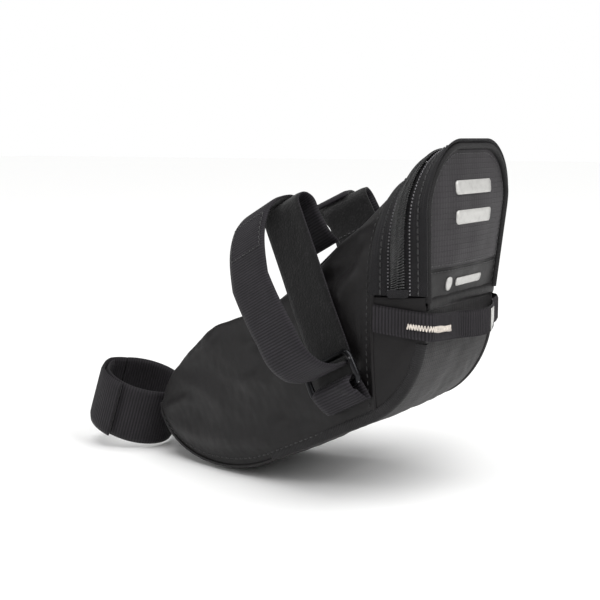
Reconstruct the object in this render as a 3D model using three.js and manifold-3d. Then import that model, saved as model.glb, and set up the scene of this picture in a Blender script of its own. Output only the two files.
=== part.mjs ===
// A wedge-shaped bicycle saddle bag: it hangs from the two saddle rails by hook-and-loop straps and is
// steadied by a third strap round the seatpost. Millimetres, +Z up, -Y towards the rear of the bicycle,
// +X to the rider's right. The origin is midway between the two saddle rails, where the straps cross them.
import * as THREE from 'three';
import { mergeVertices } from 'three/addons/utils/BufferGeometryUtils.js';
import Module from 'manifold-3d';

const { PI, cos, sin, min, max } = Math;
const rad = THREE.MathUtils.degToRad;
const lerp = THREE.MathUtils.lerp;
const wasm = await Module();
wasm.setup();

// ---- Driving dimensions ----
const GAP = 0.3; // clearance between neighbouring pieces
const CLOTH = 1.2; // coated nylon with its lining
const REAR_HALF = 36; // half the width of the bag at the zip
const TIP_HALF = 12; // half the width at the front tip
const REAR_Y = -62; // rear edge of the side walls
const SEAM_Y = -41.8; // seam between the side panels and the zip
const TIP_Y = 71.4; // front tip, next to the seatpost
const TIP_Z = -80.5;
const HINGE_Z = -29; // lower edge of the lid, where it folds down
const ZIP_END_Z = -26; // lower end of both zip legs

const LEAN = 0.057; // the rear face leans forward towards its foot, mm per mm
const LEAN_FROM = 12;
const TAPER = 0.0047; // and it narrows, as a share of its width per mm
const TAPER_FROM = 8;

const TOP_SPLIT = 0.62; // cross seam of the top, as a share of the ridge from the tip
const BASE_SPLIT = 0.52; // cross seam of the underside, as a share of its length from the lid

const ARCH_FRONT = { top: 14, radius: 34 }; // arch of the zip band at the side seam
const ARCH_REAR = { top: 27, radius: 25 }; // arch of the zip band at the lid
const TAPE = 0.9; // zip tape thickness
const COIL_HEIGHT = 1.7;
const COIL_WIDTH = 2.9; // one half of the coil chain
const COIL_GAP = 1.2; // room between the coil halves for the slider's post
const ZIP_MID_Y = -52.5; // middle of the coil chain
const LID_CLOTH = 1.5;
const WELT = 2.2; // raised edge round the lid
const LID_OUT_Y = REAR_Y - LID_CLOTH;

const WEBBING = 1.6; // hook-and-loop webbing thickness
const RAIL_STRAP_WIDTH = 20;
const RAIL_HALF_SPACING = 23;
const RAIL_RADIUS = 3.5; // 7 mm saddle rails
const STRAP_LEAN = rad(27); // the rail straps lean down and to the rear
const RING_DROP = 57.5; // from the rail to the ring's upper bar
const RING_WIRE = 2.6;
const RING_INNER = { width: 21, height: 8.9 };

const POST_RADIUS = 15.8; // 31.6 mm seatpost
const POST_LEAN = rad(19);
const POST_Y = 93; // post axis at the height of its strap
const POST_Z = -86;
const POST_STRAP = { width: 25, thickness: 1.8 };

const LOOP_WEBBING = { width: 10, thickness: 1.1 }; // light loop across the rear

// ---- Finishes ----
const FINISH = {
  smoothNylon: [0x272525, 0.55, 0],
  ripstop: [0x3f3c3f, 0.7, 0],
  webbing: [0x332f35, 0.85, 0],
  pile: [0x1d1c1f, 1, 0],
  binding: [0x2e2e2f, 0.85, 0],
  zipTape: [0x282728, 0.9, 0],
  coil: [0x212022, 0.35, 0],
  reflective: [0xc4c2be, 0.45, 0],
  thread: [0xbdb6b0, 0.8, 0],
  foam: [0x303033, 0.95, 0],
  blackMetal: [0x2b2b2d, 0.35, 0.7],
};
const model = new THREE.Group();

function add(name, geometry, finish, parent) {
  const [color, roughness, metalness] = FINISH[finish];
  const mesh = new THREE.Mesh(geometry, new THREE.MeshStandardMaterial({ color, roughness, metalness }));
  mesh.name = name;
  parent.add(mesh);
}

// ---- Geometry helpers ----
// Turns the faces outwards when a mapping has turned the body inside out.
function faceOutwards(geometry) {
  geometry.deleteAttribute('normal');
  geometry.deleteAttribute('uv');
  const solid = mergeVertices(geometry, 1e-4);
  const index = solid.index.array;
  const at = solid.attributes.position;
  const [a, b, c] = [new THREE.Vector3(), new THREE.Vector3(), new THREE.Vector3()];
  let volume = 0;
  for (let i = 0; i < index.length; i += 3) {
    a.fromBufferAttribute(at, index[i]);
    b.fromBufferAttribute(at, index[i + 1]);
    c.fromBufferAttribute(at, index[i + 2]);
    volume += a.dot(b.cross(c));
  }
  if (volume < 0) {
    for (let i = 0; i < index.length; i += 3) {
      [index[i], index[i + 1]] = [index[i + 1], index[i]];
    }
  }
  solid.computeVertexNormals();
  return solid;
}

function mapPoints(geometry, place) {
  const at = geometry.attributes.position;
  for (let i = 0; i < at.count; i++) {
    const [x, y, z] = place(at.getX(i), at.getY(i), at.getZ(i));
    at.setXYZ(i, x, y, z);
  }
  return faceOutwards(geometry);
}

// A closed slab of cloth or webbing: u and v run along and across it, w through it, all from 0 to 1.
function slab(stepsU, stepsV, place) {
  const box = new THREE.BoxGeometry(1, 1, 1, stepsU, stepsV, 1);
  return mapPoints(box, (x, y, z) => place(x + 0.5, y + 0.5, z + 0.5));
}

function mirrored(geometry) {
  return mapPoints(geometry.clone(), (x, y, z) => [-x, y, z]);
}

// The rear of the bag leans forward and narrows towards the lid's fold; the side seam stays where it is.
function settle(x, y, z) {
  const share = min(1, max(0, (SEAM_Y - y) / (SEAM_Y - REAR_Y)));
  const level = max(z, HINGE_Z);
  const narrow = TAPER * max(0, TAPER_FROM - level) * share;
  return [x * (1 - narrow), y + LEAN * (LEAN_FROM - level) * share, z];
}

function settled(geometry) {
  return mapPoints(geometry.clone(), settle);
}

function extrude(shape, depth, options = {}) {
  return new THREE.ExtrudeGeometry(shape, { depth, bevelEnabled: false, curveSegments: 10, ...options });
}

function toSolid(geometry) {
  const merged = faceOutwards(geometry.clone());
  return new wasm.Manifold(new wasm.Mesh({
    numProp: 3,
    vertProperties: new Float32Array(merged.attributes.position.array),
    triVerts: new Uint32Array(merged.index.array),
  }));
}

function fromSolid(solid) {
  const mesh = solid.getMesh();
  const geometry = new THREE.BufferGeometry();
  geometry.setAttribute('position', new THREE.BufferAttribute(new Float32Array(mesh.vertProperties), 3));
  geometry.setIndex(new THREE.BufferAttribute(new Uint32Array(mesh.triVerts), 1));
  geometry.computeVertexNormals();
  return geometry;
}

// Point and left-hand normal of a plane curve at u.
function alongCurve(curve, u) {
  const t = min(max(u, 0), 1);
  const point = curve.getPointAt(t);
  const tangent = curve.getTangentAt(t);
  return { point, normal: new THREE.Vector2(-tangent.y, tangent.x) };
}

function arcPoints(fromDegrees, toDegrees, radius, count) {
  return Array.from({ length: count }, (_, i) => {
    const a = rad(lerp(fromDegrees, toDegrees, i / (count - 1)));
    return [radius * cos(a), radius * sin(a)];
  });
}

function smoothCurve(points) {
  return new THREE.SplineCurve(points.map(([a, b]) => new THREE.Vector2(a, b)));
}

// A strap of constant width whose thin edge follows a plane curve; frame turns (a, b, across) into x, y, z.
function strap(curve, width, thickness, steps, frame, shift = 0) {
  return slab(steps, 1, (u, v, w) => {
    const { point, normal } = alongCurve(curve, u);
    const edge = point.addScaledVector(normal, (w - 0.5) * thickness);
    return frame(edge.x, edge.y, (v - 0.5) * width + shift);
  });
}

// ---- Bag outline, seen from the side (y, z) ----
const HEEL_RADIUS = 38; // round lower rear corner
const HEEL = new THREE.Vector2(REAR_Y + HEEL_RADIUS, -38);
const HEEL_END = PI + rad(64.5);

function halfWidth(y) {
  return lerp(TIP_HALF, REAR_HALF, min(1, (TIP_Y - y) / (TIP_Y - SEAM_Y)));
}

// Underside from the fold of the lid, round the heel and the front lobe, to the tip.
function undersideCurve() {
  const path = new THREE.CurvePath();
  const heelStart = new THREE.Vector2(REAR_Y, HEEL.y);
  const heelEnd = new THREE.Vector2(cos(HEEL_END), sin(HEEL_END)).multiplyScalar(HEEL_RADIUS).add(HEEL);
  const lobeStart = new THREE.Vector2(8, -95.4);
  path.add(new THREE.LineCurve(new THREE.Vector2(REAR_Y, HINGE_Z - 0.5), heelStart));
  path.add(new THREE.EllipseCurve(HEEL.x, HEEL.y, HEEL_RADIUS, HEEL_RADIUS, PI, HEEL_END));
  path.add(new THREE.LineCurve(heelEnd, lobeStart));
  path.add(new THREE.CubicBezierCurve(
    lobeStart,
    new THREE.Vector2(36, -108.8),
    new THREE.Vector2(TIP_Y, -101.5),
    new THREE.Vector2(TIP_Y, TIP_Z),
  ));
  return path;
}

// Ridge of the bag from the tip up to the zip, on the centre plane.
const RIDGE = smoothCurve([
  [TIP_Y, TIP_Z], [65, -69], [50, -55.2], [38, -45.8], [26, -41], [10, -34], [-10, -17], [SEAM_Y, ARCH_FRONT.top],
]);
const UNDERSIDE = undersideCurve();

// Radius of the shoulder between the side and the top: sharp at the front, round at the zip.
function shoulder(y) {
  const share = min(1, max(0, (26 - y) / (26 - SEAM_Y)));
  return 2.5 + (ARCH_FRONT.radius - 2.5) * share ** 1.3;
}

// ---- Main panels ----
function underside(from, to, steps) {
  return Array.from({ length: steps + 1 }, (_, i) => UNDERSIDE.getPointAt(lerp(from, to, i / steps)));
}

// Share of the underside curve at which it passes under y on the way forward.
function undersideShare(y) {
  let low = 0.1;
  let high = 0.8;
  for (let i = 0; i < 30; i++) {
    const mid = (low + high) / 2;
    if (UNDERSIDE.getPointAt(mid).x < y) {
      low = mid;
    } else {
      high = mid;
    }
  }
  return low;
}

function sidePanel() {
  const bottom = underside(undersideShare(SEAM_Y), 0.985, 30);
  const top = [];
  for (let i = 1; i <= 18; i++) {
    const p = RIDGE.getPointAt(i / 18);
    top.push(new THREE.Vector2(p.x, p.y - shoulder(p.x) - 3 * GAP));
  }
  top[top.length - 1].x = SEAM_Y;
  const shape = new THREE.Shape([...bottom, ...top.filter((p) => p.x < TIP_Y - 1.5)]);
  return mapPoints(extrude(shape, CLOTH), (y, z, depth) => [-halfWidth(y) + depth, y, z]);
}

// Small panel below the zip end, between the side panel and the rear.
function cornerPanel() {
  const edge = underside(0, undersideShare(SEAM_Y - GAP), 16).filter((p) => p.y <= ZIP_END_Z - GAP);
  const inner = SEAM_Y - GAP;
  edge[edge.length - 1].x = inner;
  const shape = new THREE.Shape([...edge, new THREE.Vector2(inner, HINGE_Z - 0.5)]);
  return mapPoints(extrude(shape, CLOTH), (y, z, depth) => [-REAR_HALF + depth, y, z]);
}

// The underside is cut in two in front of the heel; from and to are shares of its length.
function basePanel(from, to, steps) {
  return slab(steps, 2, (u, v, w) => {
    const { point, normal } = alongCurve(UNDERSIDE, lerp(from, to, u));
    const half = halfWidth(point.x) - CLOTH - GAP;
    const edge = point.addScaledVector(normal, w * CLOTH);
    return [lerp(-half, half, v), edge.x, edge.y];
  });
}

// Cross-section of the top: up over the left shoulder, across and down the right shoulder.
function overShoulders(v, half, top, radius) {
  const turn = PI / 2;
  if (v < 0.4) {
    const a = PI - (v / 0.4) * turn;
    return { x: -half + radius + radius * cos(a), z: top - radius + radius * sin(a), nx: cos(a), nz: sin(a) };
  }
  if (v <= 0.6) {
    return { x: lerp(-half + radius, half - radius, (v - 0.4) / 0.2), z: top, nx: 0, nz: 1 };
  }
  const a = turn - ((v - 0.6) / 0.4) * turn;
  return { x: half - radius + radius * cos(a), z: top - radius + radius * sin(a), nx: cos(a), nz: sin(a) };
}

// The top is cut in two across the bag; from and to are shares of the ridge.
function topPanel(from, to, steps) {
  return slab(steps, 20, (u, v, w) => {
    const p = RIDGE.getPointAt(lerp(from, to, u));
    const radius = shoulder(p.x);
    const s = overShoulders(v, halfWidth(p.x), p.y, radius);
    return [s.x - s.nx * w * CLOTH, p.x, s.z - s.nz * w * CLOTH];
  });
}

// Foam sheet that keeps the underside in shape.
function baseStiffener() {
  const from = 0.07;
  const to = undersideShare(20);
  return slab(24, 1, (u, v, w) => {
    const { point, normal } = alongCurve(UNDERSIDE, lerp(from, to, u));
    const half = halfWidth(point.x) - 2 * CLOTH - 3;
    const edge = point.addScaledVector(normal, CLOTH + GAP + w * 2);
    return [lerp(-half, half, v), edge.x, edge.y];
  });
}

// Grosgrain binding over the seam of the side and the underside.
function edgeBinding() {
  const to = undersideShare(5);
  return slab(30, 1, (u, v, w) => {
    const { point, normal } = alongCurve(UNDERSIDE, lerp(0.09, to, u));
    const edge = point.addScaledVector(normal, v * 4);
    return [-halfWidth(edge.x) - GAP - w * 0.9, edge.x, edge.y];
  });
}

// Bound seam round the front tip, below the seatpost strap.
function tipBinding() {
  return slab(8, 1, (u, v, w) => {
    const { point, normal } = alongCurve(UNDERSIDE, lerp(0.9, 0.972, u));
    const edge = point.addScaledVector(normal, -GAP - w * 1.2);
    return [lerp(-TIP_HALF, TIP_HALF, v), edge.x, edge.y];
  });
}

// ---- Zip band ----
const ARCH_STEPS = 26;

function archAt(y) {
  const share = (SEAM_Y - y) / (SEAM_Y - REAR_Y);
  return {
    top: lerp(ARCH_FRONT.top, ARCH_REAR.top, share),
    radius: lerp(ARCH_FRONT.radius, ARCH_REAR.radius, share),
  };
}

// Point of the zip band at share u of its length, y, and a height above its inner face.
function onArch(u, y, height) {
  const { top, radius } = archAt(y);
  const leg = 3 / ARCH_STEPS;
  if (u < leg || u > 1 - leg) {
    const side = u < 0.5 ? -1 : 1;
    const z = lerp(ZIP_END_Z, top - radius, min(u, 1 - u) / leg);
    return [side * (REAR_HALF + height), y, z];
  }
  const s = overShoulders((u - leg) / (1 - 2 * leg), REAR_HALF, top, radius);
  return [s.x + s.nx * height, y, s.z + s.nz * height];
}

function zipStrip(fromY, toY, inner, outer) {
  return slab(ARCH_STEPS, 1, (u, v, w) => onArch(u, lerp(fromY, toY, v), lerp(inner, outer, w)));
}

const BODY_TAPE_EDGE = ZIP_MID_Y + COIL_GAP / 2;
const LID_TAPE_EDGE = ZIP_MID_Y - COIL_GAP / 2;

// ---- Lid, an arched panel in the rear plane ----
function lidOutline(inset, fromZ, toZ = Infinity) {
  const half = REAR_HALF - inset;
  const top = ARCH_REAR.top - inset;
  const radius = ARCH_REAR.radius - inset;
  const shape = new THREE.Shape();
  shape.moveTo(-half, fromZ);
  shape.lineTo(half, fromZ);
  if (toZ < top - radius) {
    shape.lineTo(half, toZ);
    shape.lineTo(-half, toZ);
    return shape;
  }
  shape.lineTo(half, top - radius);
  shape.absarc(half - radius, top - radius, radius, 0, PI / 2, false);
  shape.absarc(-half + radius, top - radius, radius, PI / 2, PI, false);
  shape.lineTo(-half, fromZ);
  return shape;
}

// Extrudes an (x, z) outline from y = front to y = rear.
function lidPlate(shape, front, rear) {
  return mapPoints(extrude(shape, front - rear), (x, z, depth) => [x, front - depth, z]);
}

function lidWelt() {
  const outline = lidPlate(lidOutline(0, HINGE_Z + GAP), REAR_Y, LID_OUT_Y - 1);
  const core = lidPlate(lidOutline(WELT, HINGE_Z - 5), REAR_Y + 5, LID_OUT_Y - 5);
  return fromSolid(toSolid(outline).subtract(toSolid(core)));
}

function roundedBar(width, height, radius, x, z) {
  const shape = new THREE.Shape();
  const [right, left, up, down] = [x + width / 2, x - width / 2, z + height / 2, z - height / 2];
  shape.moveTo(left + radius, down);
  shape.absarc(right - radius, down + radius, radius, -PI / 2, 0, false);
  shape.absarc(right - radius, up - radius, radius, 0, PI / 2, false);
  shape.absarc(left + radius, up - radius, radius, PI / 2, PI, false);
  shape.absarc(left + radius, down + radius, radius, PI, PI * 1.5, false);
  return shape;
}

function lidPatch(shape) {
  return lidPlate(shape, LID_OUT_Y - GAP, LID_OUT_Y - GAP - 0.4);
}

// ---- Zip slider and puller, on the right leg of the zip ----
const SLIDER_Z = -18.5; // middle of the slider when the zip is closed
const SLIDER_LENGTH = 11;
const SLIDER_INSIDE = 1.1; // from the tape to the slider's inner plate, which clears the bend of the arch
const BRIDGE_X = REAR_HALF + TAPE + GAP + COIL_HEIGHT + 2 * GAP + 1.1;

function upright(width, height, depth, x, y, z) {
  return new THREE.BoxGeometry(width, depth, height).translate(x, y, z);
}

// Hangs a rigid piece in the slider's eye: moved there from the upright leg it is drawn on and turned to
// lie along the settled leg.
function hungFromEye(geometry) {
  const eye = [BRIDGE_X + 1.2, ZIP_MID_Y, SLIDER_Z + 0.55];
  const at = new THREE.Vector3(...settle(...eye));
  const along = new THREE.Vector3(...settle(REAR_HALF, ZIP_MID_Y, SLIDER_Z + 1));
  const across = new THREE.Vector3(...settle(REAR_HALF, ZIP_MID_Y + 1, SLIDER_Z));
  const leg = new THREE.Vector3(...settle(REAR_HALF, ZIP_MID_Y, SLIDER_Z));
  along.sub(leg).normalize();
  const out = across.sub(leg).cross(along).normalize();
  const turn = new THREE.Matrix4().makeBasis(out, along.clone().cross(out), along).setPosition(at);
  return faceOutwards(geometry.clone().translate(-eye[0], -eye[1], -eye[2]).applyMatrix4(turn));
}

function zipSlider() {
  const inner = toSolid(upright(0.8, SLIDER_LENGTH, 8, REAR_HALF - SLIDER_INSIDE - 0.4, ZIP_MID_Y, SLIDER_Z));
  const outer = toSolid(upright(1, SLIDER_LENGTH, 8.6, BRIDGE_X - 0.5, ZIP_MID_Y, SLIDER_Z));
  const reach = BRIDGE_X - REAR_HALF + SLIDER_INSIDE;
  const post = toSolid(upright(reach, 4, 0.55, BRIDGE_X - 0.1 - reach / 2, ZIP_MID_Y, SLIDER_Z + 3.2));
  const bridge = toSolid(upright(3.4, 8, 1.6, BRIDGE_X + 1.6, ZIP_MID_Y, SLIDER_Z));
  const eye = toSolid(upright(2.2, 5, 4, BRIDGE_X + 1.1, ZIP_MID_Y, SLIDER_Z));
  return fromSolid(inner.add(outer).add(post).add(bridge).subtract(eye));
}

// Wire link through the slider's bridge.
function pullerLink() {
  const x = BRIDGE_X + 1.2;
  const loop = toSolid(upright(1.1, 11, 6.4, x, ZIP_MID_Y, SLIDER_Z - 4.4));
  const hole = toSolid(upright(3, 8.8, 4.2, x, ZIP_MID_Y, SLIDER_Z - 4.4));
  return fromSolid(loop.subtract(hole));
}

function pullerTab() {
  const shape = roundedBar(7, 14, 1.5, 0, 0);
  const [x, z] = [BRIDGE_X + 0.3, SLIDER_Z - 17.3];
  return mapPoints(extrude(shape, 1.8, { curveSegments: 4 }), (a, b, d) => [x + d, ZIP_MID_Y + a, z + b]);
}

// ---- Light loop across the rear ----
const LOOP_PATH = smoothCurve([
  [-37.4, SEAM_Y - 1], [-37.4, -50], [-37.9, -60], [-36.4, -63.9], [-31, -64.9], [-12, -65.2],
  [-3, -68.4], [8, -70.2], [19, -68.2], [27, -65.2], [31, -64.9], [36.4, -63.9], [37.9, -60], [37.4, -50],
  [37.4, SEAM_Y - 1],
]);

function lightLoopCentre(u) {
  return -38.5 + 4.5 * (2 * u - 1) ** 2;
}

function lightLoop() {
  const { width, thickness } = LOOP_WEBBING;
  return slab(44, 1, (u, v, w) => {
    const { point, normal } = alongCurve(LOOP_PATH, u);
    const edge = point.addScaledVector(normal, (w - 0.5) * thickness);
    return [edge.x, edge.y, lightLoopCentre(u) + (v - 0.5) * width];
  });
}

// Sewn detail on the outside of the light loop, from share u0 to u1 of its length.
function onLoop(u0, u1, low, high, thickness) {
  const steps = max(2, Math.round((u1 - u0) * 44));
  return slab(steps, 1, (s, v, w) => {
    const u = lerp(u0, u1, s);
    const { point, normal } = alongCurve(LOOP_PATH, u);
    const edge = point.addScaledVector(normal, -LOOP_WEBBING.thickness / 2 - GAP - w * thickness);
    return [edge.x, edge.y, lightLoopCentre(u) + lerp(low, high, v)];
  });
}

// ---- Rail straps: built on the left in a frame that lies in the slanted side of the bag ----
const SIDE_SLANT = Math.atan((REAR_HALF - TIP_HALF) / (TIP_Y - SEAM_Y));
const OUT = new THREE.Vector3(-cos(SIDE_SLANT), sin(SIDE_SLANT), 0);
const REARWARD = new THREE.Vector3(-sin(SIDE_SLANT), -cos(SIDE_SLANT), 0);
const UP = new THREE.Vector3(0, 0, cos(STRAP_LEAN)).addScaledVector(REARWARD, -sin(STRAP_LEAN));
const ACROSS = new THREE.Vector3(0, 0, sin(STRAP_LEAN)).addScaledVector(REARWARD, cos(STRAP_LEAN));

// out: away from the bag; up: along the strap, from the rail; across: over its width, to the rear.
function fromRail(out, up, across) {
  const p = new THREE.Vector3(-RAIL_HALF_SPACING, 0, 0);
  p.addScaledVector(OUT, out).addScaledVector(UP, up).addScaledVector(ACROSS, across);
  return [p.x, p.y, p.z];
}

const RAIL_WRAP = RAIL_RADIUS + GAP + WEBBING / 2;
const RING_OUT = 9; // upper bar, out from the rail's centre
const FOLD = [28, -46]; // where the strap's tail starts to lift off

const RAIL_STRAP_PATH = smoothCurve([
  [-9.2, -15.6], [-6.2, -11], [-RAIL_WRAP, -4], [-RAIL_WRAP * 0.92, 1.6], [-RAIL_WRAP * 0.5, RAIL_WRAP * 0.87],
  [0, RAIL_WRAP], [RAIL_WRAP * 0.5, RAIL_WRAP * 0.87], [RAIL_WRAP * 0.92, 1.6], [RAIL_WRAP, -4], [5, -20],
  [5.7, -38], [5.8, -55], [6.5, -59.4], [9.3, -61.2], [15, -61.6], [21.5, -59.6], [26.4, -54], FOLD,
]);
const TAIL_PATH = smoothCurve([
  [FOLD[0], FOLD[1] + GAP], [27.2, -34], [24.6, -20], [20.4, -8], [14, 1], [7, 5.6], [0, 6.8], [-4.5, 5.6],
]);
const TAIL_SHIFT = -7; // the tail lies a little forward of the strap

function ringShape() {
  const { width, height } = RING_INNER;
  const outer = roundedBar(width + 2 * RING_WIRE, height + 2 * RING_WIRE, 3, 0, 0);
  outer.holes.push(new THREE.Path(roundedBar(width, height, 1.5, 0, 0).getPoints(4).reverse()));
  return outer;
}

const RING_MID_UP = -RING_DROP - (RING_INNER.height + RING_WIRE) / 2;

function ring() {
  const bevel = 0.5;
  const body = extrude(ringShape(), RING_WIRE - 2 * bevel, {
    bevelEnabled: true, bevelSize: bevel, bevelThickness: bevel, bevelOffset: -bevel, bevelSegments: 1,
    curveSegments: 4,
  });
  const back = RING_OUT - RING_WIRE / 2 + bevel;
  return mapPoints(body, (across, up, depth) => fromRail(back + depth, RING_MID_UP + up, across));
}

// Webbing folded round the ring's lower bar, both ends sewn to the side panel.
const RING_LOW_UP = RING_MID_UP - (RING_INNER.height + RING_WIRE) / 2;
const TAB_WRAP = RING_WIRE / 2 + 1.5;
const TAB_PATH = smoothCurve([
  [5.3, -76], [5.5, -73],
  ...arcPoints(180, 0, TAB_WRAP, 7).map(([a, b]) => [RING_OUT + a, RING_LOW_UP + b]),
  [RING_OUT + 1.4, -72.3], [7.7, -75.6],
]);

// Reinforcement on the top panel under each strap's sewn end.
function anchorPatch() {
  return slab(6, 1, (u, v, w) => {
    const { point, normal } = alongCurve(RIDGE, lerp(0.585, 0.735, u));
    const edge = point.addScaledVector(normal, -2 * GAP - w * 0.9);
    return [lerp(-9.8, -1.5, v), edge.x, edge.y];
  });
}

// ---- Seatpost strap ----
// ahead: forward, square to the post; up: along the post.
function fromPost(x, ahead, up) {
  return [
    x,
    POST_Y + ahead * cos(POST_LEAN) - up * sin(POST_LEAN),
    POST_Z + ahead * sin(POST_LEAN) + up * cos(POST_LEAN),
  ];
}

const POST_WRAP = POST_RADIUS + GAP + POST_STRAP.thickness / 2;
const TAIL_WRAP = POST_WRAP + POST_STRAP.thickness + GAP;
const POST_STRAP_PATH = smoothCurve(arcPoints(100, 452, POST_WRAP, 25));
const POST_TAIL_PATH = smoothCurve(arcPoints(183, 96, TAIL_WRAP, 8));

// ---- Assembly ----
const bagBody = new THREE.Group();
const lid = new THREE.Group();
const straps = new THREE.Group();
model.add(bagBody, lid, straps);

add('top_panel_front', topPanel(0.02, TOP_SPLIT - 0.001, 10), 'smoothNylon', bagBody);
add('top_panel_rear', topPanel(TOP_SPLIT + 0.001, 0.998, 8), 'smoothNylon', bagBody);
add('base_panel_rear', settled(basePanel(0, BASE_SPLIT - 0.001, 18)), 'ripstop', bagBody);
add('base_panel_front', basePanel(BASE_SPLIT + 0.001, 0.995, 20), 'ripstop', bagBody);
add('base_stiffener', settled(baseStiffener()), 'foam', bagBody);
add('front_tip_binding', tipBinding(), 'binding', bagBody);

const leftParts = [
  ['side_panel', sidePanel(), 'smoothNylon'],
  ['corner_panel', settled(cornerPanel()), 'smoothNylon'],
  ['edge_binding', settled(edgeBinding()), 'binding'],
  ['anchor_patch', anchorPatch(), 'webbing'],
  ['rail_strap', strap(RAIL_STRAP_PATH, RAIL_STRAP_WIDTH, WEBBING, 56, fromRail), 'pile'],
  ['rail_strap_tail', strap(TAIL_PATH, RAIL_STRAP_WIDTH, WEBBING, 22, fromRail, TAIL_SHIFT), 'webbing'],
  ['strap_ring', ring(), 'blackMetal'],
  ['ring_tab', strap(TAB_PATH, RAIL_STRAP_WIDTH, 1.3, 24, fromRail), 'webbing'],
];
for (const [name, geometry, finish] of leftParts) {
  add(`${name}_left`, geometry, finish, straps);
  add(`${name}_right`, mirrored(geometry), finish, straps);
}

const addSettled = (name, geometry, finish, parent) => add(name, settled(geometry), finish, parent);
const coilBottom = TAPE + GAP;
const coilTop = coilBottom + COIL_HEIGHT;
const bodyCoil = zipStrip(BODY_TAPE_EDGE + COIL_WIDTH, BODY_TAPE_EDGE, coilBottom, coilTop);
const lidCoil = zipStrip(LID_TAPE_EDGE, LID_TAPE_EDGE - COIL_WIDTH, coilBottom, coilTop);
addSettled('zip_tape_body', zipStrip(SEAM_Y - GAP, BODY_TAPE_EDGE, 0, TAPE), 'zipTape', bagBody);
addSettled('zip_coil_body', bodyCoil, 'coil', bagBody);
addSettled('light_loop', lightLoop(), 'webbing', bagBody);
addSettled('light_loop_stitching', onLoop(0.1, 0.32, -3.2, -1.2, 0.4), 'thread', bagBody);
addSettled('light_loop_reflector', onLoop(0.71, 0.76, -2.5, 2.5, 0.4), 'reflective', bagBody);

addSettled('zip_tape_lid', zipStrip(LID_TAPE_EDGE, REAR_Y + GAP, 0, TAPE), 'zipTape', lid);
addSettled('zip_coil_lid', lidCoil, 'coil', lid);
const LID_SPLIT_Z = -17;
const inside = WELT + GAP;
const upperPanel = lidPlate(lidOutline(inside, LID_SPLIT_Z + GAP), REAR_Y, LID_OUT_Y);
const lowerPanel = lidPlate(lidOutline(inside, HINGE_Z + GAP, LID_SPLIT_Z), REAR_Y, LID_OUT_Y);
const lining = lidPlate(lidOutline(3, HINGE_Z + 1), REAR_Y + GAP + 0.8, REAR_Y + GAP);
addSettled('lid_welt', lidWelt(), 'binding', lid);
addSettled('lid_panel_upper', upperPanel, 'ripstop', lid);
addSettled('lid_panel_lower', lowerPanel, 'smoothNylon', lid);
addSettled('lid_lining', lining, 'smoothNylon', lid);
addSettled('reflective_bar_upper', lidPatch(roundedBar(31, 5, 1.2, 0, 11.3)), 'reflective', lid);
addSettled('reflective_bar_lower', lidPatch(roundedBar(31, 5, 1.2, 0, 0.7)), 'reflective', lid);
addSettled('reflective_dot', lidPatch(roundedBar(5, 5, 2.45, -17, -23)), 'reflective', lid);
addSettled('reflective_dash', lidPatch(roundedBar(26, 3, 1.4, 3, -23)), 'reflective', lid);

addSettled('zip_slider', zipSlider(), 'blackMetal', bagBody);
add('puller_link', hungFromEye(pullerLink()), 'blackMetal', bagBody);
add('puller_tab', hungFromEye(pullerTab()), 'webbing', bagBody);

const roundThePost = (a, b, along) => fromPost(a, b, along);
const postStrap = strap(POST_STRAP_PATH, POST_STRAP.width, POST_STRAP.thickness, 48, roundThePost);
const postTail = strap(POST_TAIL_PATH, POST_STRAP.width, POST_STRAP.thickness, 14, roundThePost);
add('post_strap', postStrap, 'webbing', straps);
add('post_strap_tail', postTail, 'webbing', straps);

export default model;
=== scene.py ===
"""A wedge-shaped bicycle saddle bag: sewn nylon shell, arched zip, light loop and hook-and-loop straps.

Shapes are worked out in millimetres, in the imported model's frame, and scaled to metres in make_object.
"""
import math

import bpy
import numpy as np
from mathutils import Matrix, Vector


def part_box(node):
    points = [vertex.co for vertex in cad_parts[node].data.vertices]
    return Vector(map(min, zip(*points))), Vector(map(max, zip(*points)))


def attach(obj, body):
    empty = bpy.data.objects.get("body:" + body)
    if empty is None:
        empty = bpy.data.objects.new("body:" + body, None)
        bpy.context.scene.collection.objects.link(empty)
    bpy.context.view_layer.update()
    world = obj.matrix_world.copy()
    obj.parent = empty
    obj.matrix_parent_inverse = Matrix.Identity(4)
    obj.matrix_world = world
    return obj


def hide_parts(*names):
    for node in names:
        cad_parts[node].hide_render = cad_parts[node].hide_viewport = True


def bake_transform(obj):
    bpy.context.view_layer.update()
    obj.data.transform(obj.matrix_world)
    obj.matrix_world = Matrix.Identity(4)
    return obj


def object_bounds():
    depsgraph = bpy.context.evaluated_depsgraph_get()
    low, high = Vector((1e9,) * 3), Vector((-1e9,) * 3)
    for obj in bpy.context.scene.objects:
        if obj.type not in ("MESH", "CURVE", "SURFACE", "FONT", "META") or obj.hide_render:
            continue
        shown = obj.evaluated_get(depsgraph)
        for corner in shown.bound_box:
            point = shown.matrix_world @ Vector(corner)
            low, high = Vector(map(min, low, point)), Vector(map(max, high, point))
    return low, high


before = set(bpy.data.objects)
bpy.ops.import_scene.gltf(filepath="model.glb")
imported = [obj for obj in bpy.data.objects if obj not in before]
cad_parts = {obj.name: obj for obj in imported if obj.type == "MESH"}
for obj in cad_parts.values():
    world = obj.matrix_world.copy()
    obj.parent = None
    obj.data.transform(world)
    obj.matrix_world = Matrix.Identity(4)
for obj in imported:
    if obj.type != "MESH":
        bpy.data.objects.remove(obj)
cad_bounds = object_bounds()

MM = 0.001


def low(node):
    return np.array(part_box(node)[0]) / MM


def high(node):
    return np.array(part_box(node)[1]) / MM


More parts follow.
